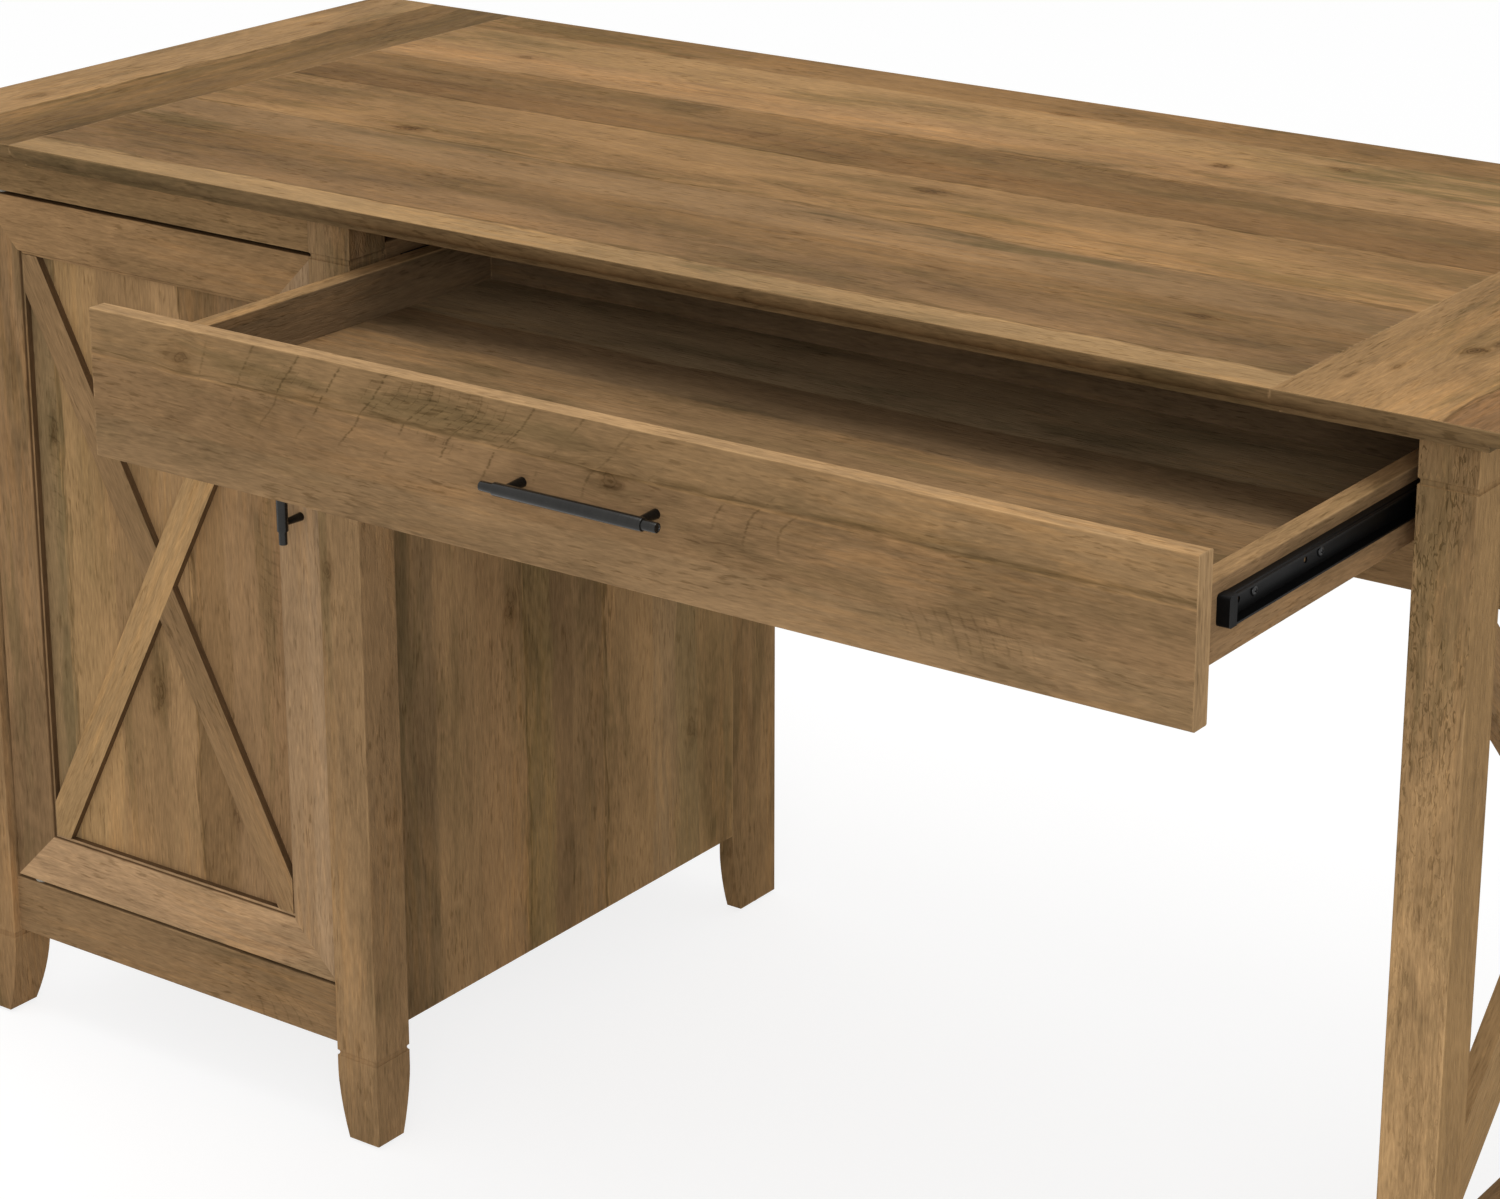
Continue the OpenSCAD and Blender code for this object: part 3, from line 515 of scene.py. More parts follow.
    def __init__(self, oak: OakPrint, box: Box) -> None:
        """Sets out the board's coordinates and the noise that its layers share.

        Args:
            oak: The print.
            box: The board's lowest and highest corner, in metres.
        """
        self.oak, self.box = oak, box
        self.bench = bench = Bench(oak.name, "2D")
        self.place = bench.place()
        self.third = ({0, 1, 2} - {oak.grain.value, oak.across.value}).pop()
        self.board = self._board()
        self.whole: Number = 1.0
        self.moulding: Val | None = None
        self.u, self.v, through = bench.parts(self._edging())
        shift = (oak.seed * self.SEED_STEP[0], oak.seed * self.SEED_STEP[1], 0.0)
        wrapped = self.v + through * self.THROUGH
        start = bench.vector("ADD", bench.joined(self.u, wrapped, 0.0), shift)
        self.warp, self.broad, self.warm = bench.trio(start, self.WARP)
        self.frayed = bench.noise(start, self.FRAY)
        self.joint = (self.v + self.frayed.swing(self.JOINT_FRAY * oak.feather)
                      + self.warp.swing(self.JOINT_SWAY * oak.feather))
        self.near, self.core, pushed = self._knots()
        bent = wrapped + self.warp.swing(self.GRAIN_SWAY) - pushed + self._lane()
        self.at = bench.vector("ADD", bench.joined(self.u, bent, 0.0), shift)
        self.mottle, self.crowd, self.drift = bench.trio(self.at, self.MOTTLE)
        self.streak, self.pin, self.gold = bench.trio(self.at, self.STREAK)
        self.fibre = bench.noise(self.at, self.FIBRE)
        self.dark_dash, self.light_dash, self.grit = bench.trio(self.at, self.DASH)

    def material(self) -> Material:
        """Lays tone with painted light and shade, edging and lit tops, stains, marks, weathering, knots, the
        lighter edge strip and the painted shade of the sides over each other.
        """
        oak, bench, streak, fibre = self.oak, self.bench, self.streak, self.fibre
        wave = (self.broad.swing(self.BROAD_SWING) + self.mottle.swing(self.MOTTLE_SWING)
                + streak.swing(self.STREAK_SWING))
        fine, grit = fibre.swing(self.FIBRE_SWING), self.grit.swing(self.GRIT_SWING)
        bright = self.MEAN + wave * oak.contrast + fine + grit
        # Painted light and shade along the grain.
        if oak.painted_light_and_tone:
            bright = bright * self._painted_light_and_tone()
        colour = bench.scaled(self._tone(), bright)
        own = self.whole
        # Bands: glued edging, and tops with a painted highlight.
        for mask, tone in self._bands():
            own = (1 - mask) * own
            colour = bench.mix(mask, colour, self._plain(tone, self.BAND_STREAK))
        glow = self.warm.ramp(*self.GLOW_WARM) * self.gold.ramp(*self.GLOW_GOLD)
        colour = bench.tint(glow * self.GLOW, colour, Tint.GOLD)
        colour = bench.tint(self._stains(), colour, Tint.STAIN)
        dashes = self.dark_dash.ramp(*self.DASHES)
        crowded = self.crowd.ramp(*self.DASH_CROWDS) * self.DASH_SHARE
        colour = bench.tint(dashes * crowded, colour, Tint.DASH)
        flecks = self.light_dash.ramp(*self.FLECKS) * self.pin.ramp(*self.FLECK_PINS)
        colour = bench.tint(flecks * self.FLECK, colour, Tint.FLECK)
        dark_seam, light_seam = self._seams()
        colour = bench.tint(dark_seam.high(self._saw()) * own, colour, Tint.MARK)
        colour = bench.tint(light_seam * self.whole, colour, Tint.LIGHT_SEAM)
        relief = fibre * self.GRAIN_RELIEF + streak * self.GRAIN_RELIEF - dashes * self.DASH_RELIEF
        if oak.weather:
            chips, ridges = self._weather()
            colour = bench.tint(chips * oak.weather, colour, Tint.CHIP)
            colour = bench.tint(ridges * oak.weather, colour, Tint.RIDGE)
            relief = relief + ridges * self.RIDGE_RELIEF - chips * self.CHIP_RELIEF
        colour = bench.tint(self.near * self.KNOT_HALO, colour, Tint.KNOT_EDGE)
        colour = bench.tint(self.core, colour, Tint.KNOT_CORE)
        # A lighter, smoother strip along the long edges.
        edge_strip = self._edge_strip()
        colour = bench.mix(edge_strip * self.WEAR, colour, linear(self.WORN))
        # Painted shade: the faces across the thickness take a flat darker tone where they turn away from the
        # light.
        if oak.sides is not None:
            plain = self._plain(oak.sides, self.SIDE_STREAK)
            colour = bench.mix(self._shaded_flank() * self.SIDE, colour, plain)
        bench.bump(relief, self.BUMP, self.BUMP_DEPTH)
        rough = self.ROUGH + streak.swing(self.STREAK_ROUGH) + dashes * self.DASH_ROUGH
        rough = rough - edge_strip * self.WEAR_SMOOTH
        return bench.finish(Base_Color=colour, Roughness=rough, Specular_IOR_Level=self.SPECULAR)

    def _plain(self, tone: Tone, streaks: float) -> Socket:
        """Returns a tone with grain alone: for edging, for tops with a painted highlight, and for the painted
        shade of the faces across the thickness.
        """
        bright = 1 + self.streak.swing(streaks) + self.fibre.swing(self.PLAIN_FIBRE)
        return self.bench.scaled(linear(tone), bright)

    def _board(self) -> Socket:
        """Turns the desk's frame into the board's own: along the grain, across it, and through the board."""
        oak, bench = self.oak, self.bench
        parts = bench.parts(self.place)
        board = bench.joined(parts[oak.grain.value], parts[oak.across.value], parts[self.third])
        if not oak.turn:
            return board
        inputs = {"Vector": board, "Angle": math.radians(-oak.turn)}
        return bench.out("ShaderNodeVectorRotate", {"rotation_type": "Z_AXIS"}, inputs)

    def _edging(self) -> Socket:
        """Turns the grain along the edging, the tops with a painted highlight and the moulding, and keeps the
        moulding's mask.
        """
        bench, at = self.bench, self.board
        for band in self.oak.bands:
            if band.axis is self.oak.grain:
                u, v, w = bench.parts(at)
                at = bench.blend(self._face(band), at, bench.joined(v, w, u))
        if self.oak.rim is None:
            return at
        self.moulding, along = self.oak.rim.lay(bench, self.place)
        self.whole = 1 - self.moulding
        return bench.blend(self.moulding, at, along)

    def _face(self, band: EdgingAndLitTop) -> Val:
        """Returns the mask of a band's face."""
        axis = band.axis.value
        return abs(self.bench.parts(self.place)[axis] - self.box[1][axis]).ramp(*self.BAND_FACE)

    def _shaded_flank(self) -> Val:
        """Returns the mask of the faces across the board's thickness, its edges and its bead, which take a
        painted shade.
        """
        facing = self.bench.parts(self.bench.out("ShaderNodeTexCoord", {}, {}, "Normal"))[self.third]
        return abs(facing).ramp(*self.FACING)

    def _bands(self) -> list[tuple[Val, Tone]]:
        """Returns the mask and tone of each band, glued edging and tops with a painted highlight, the
        moulding among them.
        """
        found = [(self._face(band), band.tone) for band in self.oak.bands]
        if self.moulding is not None and self.oak.rim is not None:
            found.append((self.moulding, self.oak.rim.tone))
        return found

    def _scale(self, at: Val, end: float, stops: list[tuple[float, Colour]], ramp: str) -> Socket:
        """Reads a colour ramp with its stops at places in mm, from the first stop's to the end."""
        first = stops[0][0]
        placed = [((x - first) / (end - first), colour) for x, colour in stops]
        where = (at - first * MM) / ((end - first) * MM)
        return self.bench.out("ShaderNodeValToRGB", {"stops": placed, "ramp": ramp}, {0: where})

    def _tone(self) -> object:
        """Returns the plank's tone, from where it lies across the board."""
        planks = self.oak.planks
        if len(planks) == 1:
            return linear(planks[0].tone)
        soft = self.SOFT_STEP * self.oak.feather + self.LEAST_STEP
        stops = [(planks[0].start, linear(planks[0].tone))]
        for before, after in zip(planks, planks[1:]):
            stops.append((after.start - soft, linear(before.tone)))
            stops.append((after.start + soft, linear(after.tone)))
        return self._scale(self.joint, planks[-1].start + self.PAST_LAST, stops, "LINEAR")

    def _lane(self) -> Number:
        """Returns a jump in the grain's coordinates at each plank joint, so that no streak runs past it."""
        planks = self.oak.planks
        if len(planks) == 1:
            return 0.0
        stops = [(plank.start, grey((i * self.LANE_STEP) % 1.0)) for i, plank in enumerate(planks)]
        made = self._scale(self.joint, planks[-1].start + self.PAST_LAST, stops, "CONSTANT")
        return Val(self.bench, made) * self.LANE_JUMP

    def _painted_light_and_tone(self) -> Val:
        """Returns a brightness that changes along the grain: painted light and shade, with some of the
        print's own tone.
        """
        stops = [(x, grey(shade / 2)) for x, shade in self.oak.painted_light_and_tone]
        return Val(self.bench, self._scale(self.u, stops[-1][0], stops, "EASE")) * 2.0

    def _away(self, spot: Spot) -> Socket:
        """Returns the way from a spot's middle, in its own half sizes."""
        middle = (spot.along * MM, spot.across * MM, 0.0)
        away = self.bench.vector("SUBTRACT", self.board, middle)
        return self.bench.vector("MULTIPLY", away, (1 / (spot.reach * MM), 1 / (spot.width * MM), 0.0))

    def _knots(self) -> tuple[Number, Number, Number]:
        """Returns the knots' soft surroundings, their ringed cores, and how far they push the grain aside."""
        bench = self.bench
        if not self.oak.knots:
            return bench.parts(self.board)[0] * 0.0, 0.0, 0.0
        ragged = bench.noise(self.board, self.KNOT).swing(self.RAGGED_KNOT)
        soft, hard, push = [], [], []
        for knot in self.oak.knots:
            away = self._away(knot)
            clean = bench.length(away)
            far = clean + ragged
            ring = abs((far * self.KNOT_RINGS).math("FRACT") - 0.5) * 2
            ringed = self.CORE_LEAST + ring.ramp(*self.KNOT_RING) * (1 - self.CORE_LEAST)
            soft.append(far.ramp(*self.KNOT_EDGE) * knot.strength)
            hard.append(far.ramp(*self.KNOT_CORE) * ringed * knot.strength)
            size = knot.width * MM * self.GRAIN_PUSH * knot.strength
            push.append(bench.parts(away)[1] * clean.ramp(*self.KNOT_PUSH) * size)
        near, core = (reduce(Val.high, masks) * self.whole for masks in (soft, hard))
        return near, core, reduce(Val.__add__, push)

    def _stains(self) -> Val:
        """Returns the grey-green stains, drifting ones and those at set places."""
        mask = self.broad.ramp(*self.STAIN_BROAD) * self.drift.ramp(*self.STAIN_DRIFT) * self.oak.stain
        torn = self.frayed.swing(self.TORN_STAIN)
        for stain in self.oak.stains:
            far = self.bench.length(self._away(stain)) + torn
            mask = mask.high(far.ramp(*self.STAIN_EDGE) * self.whole * stain.strength)
        return mask

    def _seams(self) -> tuple[Val, Val]:
        """Returns the broken dark lines along plank joints, and the fine light ones beside them."""
        streak = self.streak
        dark, light = streak * 0.0, streak * 0.0
        for seam in self.oak.seams:
            gap = abs(self.joint - (seam + self.DARK_SEAM_AT) * MM).ramp(*self.DARK_SEAM_WIDTH)
            dark = dark.high(gap * streak.ramp(*self.DARK_SEAM_STREAK) * self.DARK_SEAM)
            fine = abs(self.v - (seam + self.LIGHT_SEAM_AT) * MM + streak.swing(self.SEAM_GRIT))
            fine = fine.ramp(*self.LIGHT_SEAM_WIDTH) * streak.ramp(*self.LIGHT_SEAM_STREAK)
            light = light.high(fine * self.LIGHT_SEAM)
        return dark, light

    def _saw(self) -> Number:
        """Returns the slanted saw lines at uneven steps, and the clusters of finer ones that cross them."""
        if not self.oak.saw:
            return 0.0
        u, v, _ = self.bench.parts(self.board)
        crowd, grit = self.crowd, self.grit
        broken = self.dark_dash.ramp(*self.SAW_BROKEN)
        found = []
        for marks in self.oak.saw:
            far = self.bench.length(self._away(marks.area)) + crowd.swing(self.TORN_SAW)
            run = (u + v * marks.slant) + self.warp.swing(self.SAW_SWAY) + grit.swing(self.SAW_GRIT)
            down = v - u * self.CROSS_TILT + grit.swing(self.CROSS_GRIT)
            lines = reduce(Val.high, [self._lines(down if each.along else run, marks.pitch / each.finer, each)
                                      for each in self.SAW_SETS])
            smudge = crowd.ramp(*self.SMUDGE) * self.SMUDGE_SHARE
            marked = (lines * broken).high(smudge) * far.ramp(*self.SAW_EDGE)
            found.append(marked * marks.area.strength)
        return reduce(Val.high, found)

    def _lines(self, across: Val, pitch: float, kind: SawSet) -> Val:
        """Returns parallel lines of a pitch in mm, where their patches let them show."""
        patch = self.crowd.ramp(*kind.patches)
        if kind.share < 1.0:
            patch = patch * kind.share
        beat = (across / (pitch * MM)).math("FRACT")
        gap = (0.5 - abs(beat - 0.5)) * pitch
        return gap.ramp(kind.width, 0.0) * patch

    def _weather(self) -> tuple[Val, Val]:
        """Returns short dark chips that crowd towards the desktop, and the pale ridges between them."""
        dark, pale, gaps = self.bench.trio(self.at, self.CHIP)
        zone = self.bench.noise(self.at, self.CHIP_ZONE).ramp(*self.CHIP_ZONES)
        high = self.LOW_DOWN + self.u.ramp(*self.WEATHER_RISE) * (1 - self.LOW_DOWN)
        ridges = pale.ramp(*self.RIDGES) * gaps.ramp(*self.RIDGE_GAPS) * self.RIDGE_SHARE
        return dark.ramp(*self.CHIPS) * zone * high, ridges * high

    def _edge_strip(self) -> Val:
        """Returns the strip along the board's long edges that is toned lighter and smoother."""
        low, high = self.box
        away = self.bench.vector("SUBTRACT", self.place, tuple((low + high) / 2))
        away = self.bench.vector("ABSOLUTE", away, (0.0, 0.0, 0.0))
        a, b, c = self.bench.parts(self.bench.vector("SUBTRACT", tuple((high - low) / 2), away))
        nearest = a.low(b).high(a.high(b).low(c))
        return nearest.ramp(*self.WORN_EDGE) * self.streak.ramp(*self.WEAR_STREAK)


@dataclass(frozen=True)
class Coating:
    """Painted, moulded or plated surface with a fine skin texture."""

    CLOUD = Layer((60.0, 60.0, 60.0), 3.0, 0.55)
    SCUFF = Layer((220.0, 900.0, 220.0), 3.0, 0.6)
    SCUFFS = (0.58, 0.74)
    CLOUD_RELIEF, CLOUD_ROUGH, SCUFF_ROUGH, DEPTH = 0.3, 0.2, 0.08, 0.0002

    name: str
    tone: Tone
    rough: float
    metallic: float = 0.0
    grain: float = 1400.0
    relief: float = 0.12
    mottle: float = 0.12
    specular: float = 0.5

    def material(self) -> Material:
        """Builds the finish: mottled colour and roughness, with a bumpy skin."""
        bench = Bench(self.name)
        place = bench.place()
        cloud = bench.noise(place, self.CLOUD)
        skin = bench.noise(place, Layer((self.grain, self.grain, self.grain)))
        scuff = bench.noise(place, self.SCUFF).ramp(*self.SCUFFS)
        bright = 1 + cloud.swing(2 * self.mottle) + scuff * self.mottle
        bench.bump(skin + cloud * self.CLOUD_RELIEF, self.relief, self.DEPTH)
        rough = self.rough + cloud.swing(self.CLOUD_ROUGH) + scuff * self.SCUFF_ROUGH
        return bench.finish(Base_Color=bench.scaled(linear(self.tone), bright), Roughness=rough,
                            Metallic=self.metallic, Specular_IOR_Level=self.specular)


@dataclass(frozen=True)
class TurnedMetal:
    """Dark metal with fine rings round an axis, as a lathe leaves them."""

    ALONG = 25.0
    CLOUD = Layer((90.0, 90.0, 90.0), 3.0, 0.6)
    RUB = Layer((500.0, 500.0, 500.0), 3.0, 0.7)
    RUBS, RUB_SHARE = (0.66, 0.80), 0.25
    SWING, RING_ROUGH, CLOUD_ROUGH = 0.5, 0.16, 0.12
    CLOUD_RELIEF, RELIEF, DEPTH = 0.4, 0.10, 0.00015
    METALLIC, SPECULAR = 0.70, 0.5

    name: str
    tone: Tone
    axis: Axis
    rough: float = 0.22
    rings: float = 2600.0
    rubbed: Tone = (120, 118, 112)

    def material(self) -> Material:
        """Builds the finish: rings along the axis, cloudy lacquer and a few bright rubs."""
        bench = Bench(self.name)
        place = bench.place()
        scale = [self.ALONG] * 3
        scale[self.axis.value] = self.rings
        rings = bench.noise(place, Layer(tuple(scale), 2.0, 0.6))
        cloud = bench.noise(place, self.CLOUD)
        rub = bench.noise(place, self.RUB).ramp(*self.RUBS) * self.RUB_SHARE
        bright = 1 + rings.swing(self.SWING) + cloud.swing(self.SWING)
        colour = bench.mix(rub, bench.scaled(linear(self.tone), bright), linear(self.rubbed))
        bench.bump(rings + cloud * self.CLOUD_RELIEF, self.RELIEF, self.DEPTH)
        rough = self.rough + rings.swing(self.RING_ROUGH) + cloud.swing(self.CLOUD_ROUGH)
        return bench.finish(Base_Color=colour, Roughness=rough, Metallic=self.METALLIC,
                            Specular_IOR_Level=self.SPECULAR)


def planks(*rows: tuple[float, int, int, int]) -> tuple[Plank, ...]:
    """Makes planks from rows of start, red, green and blue."""
    return tuple(Plank(start, (red, green, blue)) for start, red, green, blue in rows)


def spots(*rows: tuple[float, ...]) -> tuple[Spot, ...]:
    """Makes ovals from rows of along, across, reach, width and, where it is below 1, strength."""
    return tuple(Spot(*row) for row in rows)


def saw(*rows: tuple[float, ...]) -> tuple[SawMarks, ...]:
    """Makes saw marks from rows of along, across, reach, width, strength, pitch and slant."""
    return tuple(SawMarks(Spot(*row[:5]), *row[5:]) for row in rows)


PULL_X = TurnedMetal("pull_gunmetal_level", (45, 44, 42), X)
PULL_Z = TurnedMetal("pull_gunmetal_upright", (45, 44, 42), Z)
POST_Y = TurnedMetal("pull_post_gunmetal", (36, 36, 35), Y)
E_COAT = Coating("slide_black_coat", (7, 7, 7), 0.45, 0.0, 2200.0, 0.10, 0.25, specular=0.10)
BLACK_SCREW = Coating("screw_black_oxide", (52, 52, 52), 0.36, 0.6, 1800.0, 0.08, 0.2)
ZINC = Coating("zinc_plate", (176, 174, 166), 0.34, 1.0, 1800.0, 0.08, 0.22)
BEARING = Coating("bearing_steel", (205, 205, 208), 0.12, 1.0, 2600.0, 0.03, 0.06)
SOFT_BLACK = Coating("bumper_black", (7, 7, 7), 0.55, 0.0, 2600.0, 0.25, 0.2, specular=0.10)
NYLON = Coating("nylon_white", (168, 162, 148), 0.48, 0.0, 1500.0, 0.15, 0.06)

# Painted shade on the door's edges and on the flanks of its bead and braces.
DOOR_PAINTED_EDGE_SHADE: Tone = (84, 63, 42)

DESKTOP_PRINTS = (
    OakPrint("oak_top_field", ("desktop_field",), X, Y,
        planks((-173.3, 155, 125, 87), (-141, 135, 105, 72), (-83.3, 133, 103, 69), (-33.3, 136, 107, 74),
            (26.7, 155, 120, 80), (86.7, 148, 115, 77), (141.7, 128, 97, 63), (191.7, 136, 105, 69),
            (243.7, 163, 127, 87), (306.7, 165, 130, 88), (371.7, 143, 110, 72)),
        seed=1, contrast=0.85, seams=(141.7, 243.7, 26.7, -141), rim=Rim(),
        knots=spots((240, 302, 9, 7), (320, 342, 14, 8, 0.8), (-325, 44, 13, 9), (110, 113, 16, 8, 0.9),
            (-415, 300, 11, 6, 0.7), (-310, 378, 15, 6, 0.7), (225, -60, 12, 4, 0.8), (425, -60, 14, 5, 0.8),
            (60, 378, 14, 5, 0.6)),
        stains=spots((-110, 318, 60, 22, 0.55), (300, 330, 90, 24, 0.5), (195, 74, 60, 14, 0.75),
            (60, 108, 60, 22, 0.45), (-470, -40, 70, 20, 0.85), (240, 14, 150, 10, 0.95),
            (-55, 150, 120, 20, 0.5), (-260, 22, 120, 20, 0.5), (400, -60, 90, 18, 0.55),
            (430, 340, 150, 44), (440, 60, 120, 26, 0.7), (430, 278, 120, 20, 0.4),
            (-425, 400, 140, 32, 0.8)),
        saw=saw((-60, 190, 95, 52, 0.55, 30, -0.35), (80, 236, 260, 12, 0.5, 22, -0.3))),
    OakPrint("oak_breadboard_left", ("breadboard_left",), Y, X,
        planks((-685.5, 162, 129, 90), (-619.5, 134, 104, 68), (-588.5, 128, 100, 66)),
        seed=2.3, seams=(-619.5,), rim=Rim(), knots=spots((300, -650, 12, 6, 0.7), (-40, -640, 14, 7, 0.6)),
        stains=spots((60, -600, 160, 16, 0.6), (330, -560, 80, 20, 0.5))),
    OakPrint("oak_breadboard_right", ("breadboard_right",), Y, X,
        planks((533.5, 150, 118, 80), (560, 157, 123, 83), (646.5, 134, 102, 70)),
        seed=3.1, seams=(646.5,), rim=Rim(),
        knots=spots((-88, 575, 9, 4, 0.8), (-30, 600, 12, 8), (-8, 607, 9, 5, 0.8), (-120, 560, 10, 3, 0.7),
            (180, 590, 14, 8, 0.8), (330, 620, 12, 6, 0.7)),
        stains=spots((-60, 640, 90, 10, 0.6), (-20, 590, 50, 22, 0.3))),
)
CARCASS_PRINTS = (
    OakPrint("oak_post_left", ("pedestal_left_post",), Z, X, planks((0, 143, 113, 79)),
        seed=16.2, weather=0.15),
    OakPrint("oak_post_right", ("pedestal_right_post",), Z, X, planks((0, 152, 122, 87)),
        seed=15.5, weather=0.22,
        # Painted light and shade along the post, with the print's own tone.
        painted_light_and_tone=((0, 0.95), (140, 0.95), (260, 0.82), (420, 0.82), (600, 0.93), (743, 0.95)),
        knots=spots((470, -255, 20, 5, 0.6), (560, -243, 16, 5, 0.6)),
        stains=spots((500, -258, 120, 6, 0.6))),
    OakPrint("oak_leg_weathered", ("right_front_leg",), Z, X, planks((0, 163, 131, 92)),
        # Its side faces take a painted shade tone, a little darker than the front.
        seed=14.8, stain=0.2, weather=0.85, sides=(153, 122, 83),
        # Painted shade: darker under the desktop, where it also has grey weathering; painted light lower
        # down.
        painted_light_and_tone=((0, 1), (120, 1.08), (300, 1.28), (400, 1.2), (480, 0.9), (560, 0.88), (640, 0.78),
            (700, 0.6), (743, 0.6)), stains=spots((650, 632, 90, 20, 0.5))),
    OakPrint("oak_rear_leg", ("pedestal_left_rear_leg", "pedestal_right_rear_leg", "right_rear_leg"), Z, Y,
        planks((0, 141, 112, 77)), seed=17.9, stains=spots((220, 400, 80, 12, 0.5))),
    OakPrint("oak_pedestal_side", ("pedestal_right_panel",), Z, Y,
        planks((-110, 137, 110, 78), (-92, 132, 107, 76), (-30, 151, 121, 85), (20, 150, 119, 83),
            (78, 138, 113, 76), (112, 128, 102, 71), (138, 136, 109, 76), (180, 155, 124, 86),
            (246, 148, 121, 87), (280, 142, 118, 82), (310, 148, 119, 81), (345, 140, 113, 77)),
        seed=10.3, contrast=0.8, seams=(78, 180), knots=spots((200, 300, 22, 9, 0.6), (380, 60, 18, 8, 0.6)),
        stains=spots((400, -70, 200, 18, 0.7), (420, 60, 160, 10, 0.5), (480, 320, 120, 20, 0.6),
            (330, -10, 150, 8, 0.4))),
    OakPrint("oak_side_boards", ("pedestal_left_panel",), Z, Y,
        planks((-110, 143, 114, 80), (-20, 128, 101, 70), (70, 152, 121, 85), (150, 134, 106, 74),
            (240, 146, 116, 82), (320, 126, 100, 69)), seed=11.2, seams=(70, 240),
        knots=spots((480, 20, 20, 9, 0.8), (260, 200, 18, 8, 0.7))),
    OakPrint("oak_back_boards", ("pedestal_back_panel",), Z, X,
        planks((-620, 138, 110, 78), (-530, 152, 121, 85), (-440, 130, 103, 72), (-350, 146, 116, 82),
            (-262, 134, 106, 75)), seed=12.1, seams=(-530, -350), knots=spots((400, -480, 18, 9, 0.8))),
    OakPrint("oak_case_board", ("pedestal_floor", "adjustable_shelf"), X, Y,
        planks((-120, 140, 111, 78), (0, 150, 120, 85), (110, 131, 104, 73), (230, 145, 115, 81),
            (340, 136, 108, 76)), seed=21.4, seams=(110,)),
    OakPrint("oak_rail_top", ("pedestal_top_rail",), X, Z, planks((0, 137, 109, 75)), seed=18.6, stain=0.3),
    OakPrint("oak_rail_bottom", ("pedestal_bottom_rail",), X, Z, planks((0, 139, 111, 79)),
        seed=19.3, contrast=0.8, stain=0.3, saw=saw((-330, 90, 60, 20, 0.4, 12, 0.8))),
    OakPrint("oak_end_rail", ("right_top_rail", "right_bottom_rail"), Y, Z, planks((0, 140, 111, 78)),
        seed=20.1),
    OakPrint("oak_modesty_boards", ("modesty_panel",), X, Z,
        planks((425, 138, 110, 77), (505, 154, 123, 86), (590, 131, 103, 72), (672, 146, 116, 81)),
        seed=13.4, seams=(505, 672), knots=spots((60, 540, 18, 9, 0.8), (420, 630, 16, 8, 0.7)),
        saw=saw((300, 560, 160, 60, 0.5, 33, -0.4))),
    OakPrint("oak_cleat", ("slide_cleat",), Y, Z, planks((0, 132, 104, 73)), seed=22.2),
)
DRAWER_PRINTS = (
    OakPrint("oak_drawer_front", ("drawer_front",), X, Z,
        planks((637, 136, 109, 78), (667, 133, 105, 74), (709, 133, 106, 74)),
        seed=4.7, contrast=0.8, stain=0.3, feather=0.4, seams=(709.5,),
        # Painted light: brighter towards the right, where the light falls, with the print's own tone.
        painted_light_and_tone=((-220, 0.99), (-100, 0.98), (60, 0.97), (180, 0.9), (260, 0.94), (330, 0.98), (440, 1.04),
            (560, 1.05), (615, 1.02)), knots=spots((-140, 720, 12, 7, 0.7), (215, 704, 13, 7, 0.65)),
        stains=spots((-60, 722, 60, 12, 0.5), (90, 722, 70, 12, 0.55), (165, 728, 45, 8, 0.5),
            (215, 704, 26, 9, 0.6), (-205, 725, 14, 8, 0.4)),
        saw=saw((60, 718, 215, 42, 0.8, 37, -0.5), (320, 700, 45, 20, 0.6, 24, -0.5),
            (470, 662, 60, 18, 0.4, 9, 0.3)),
        # The top band is a painted highlight, lighter because the top faces up; the end band is glued edging.
        bands=(EdgingAndLitTop(Z, (172, 138, 98)), EdgingAndLitTop(X, (158, 128, 92)))),
    # Painted shade: the left side is toned darker than the right one, as its inner face lies in shade.
    OakPrint("oak_drawer_side_left", ("drawer_left_side",), Y, Z, planks((0, 116, 95, 70)), seed=5.5,
        # Its top band is a painted highlight, lighter because the top faces up.
        bands=(EdgingAndLitTop(Z, (156, 124, 86)),)),
    OakPrint("oak_drawer_side", ("drawer_right_side",), Y, Z, planks((0, 132, 105, 75)), seed=5.2,
        # Its top band is a painted highlight, lighter because the top faces up.
        bands=(EdgingAndLitTop(Z, (156, 124, 86)),)),
    # Painted shade: the back is toned dark, as it stands in the shade under the desktop.
    OakPrint("oak_drawer_back", ("drawer_back",), X, Z, planks((0, 107, 87, 64)), seed=5.9),
    OakPrint("oak_drawer_floor", ("drawer_bottom",), X, Y,
        # The last two planks are painted light and shade: a darker plank where the desktop's shadow falls,
        # and a paler, greyer one that lifts the deep shade at the back.
        planks((-393.3, 150, 121, 88), (-283.3, 141, 112, 79), (-175, 123, 99, 72), (-112, 149, 126, 95)),
        seed=6.4, contrast=0.9, stains=spots((300, -200, 60, 16, 0.5), (420, -235, 60, 8, 0.5))),
)
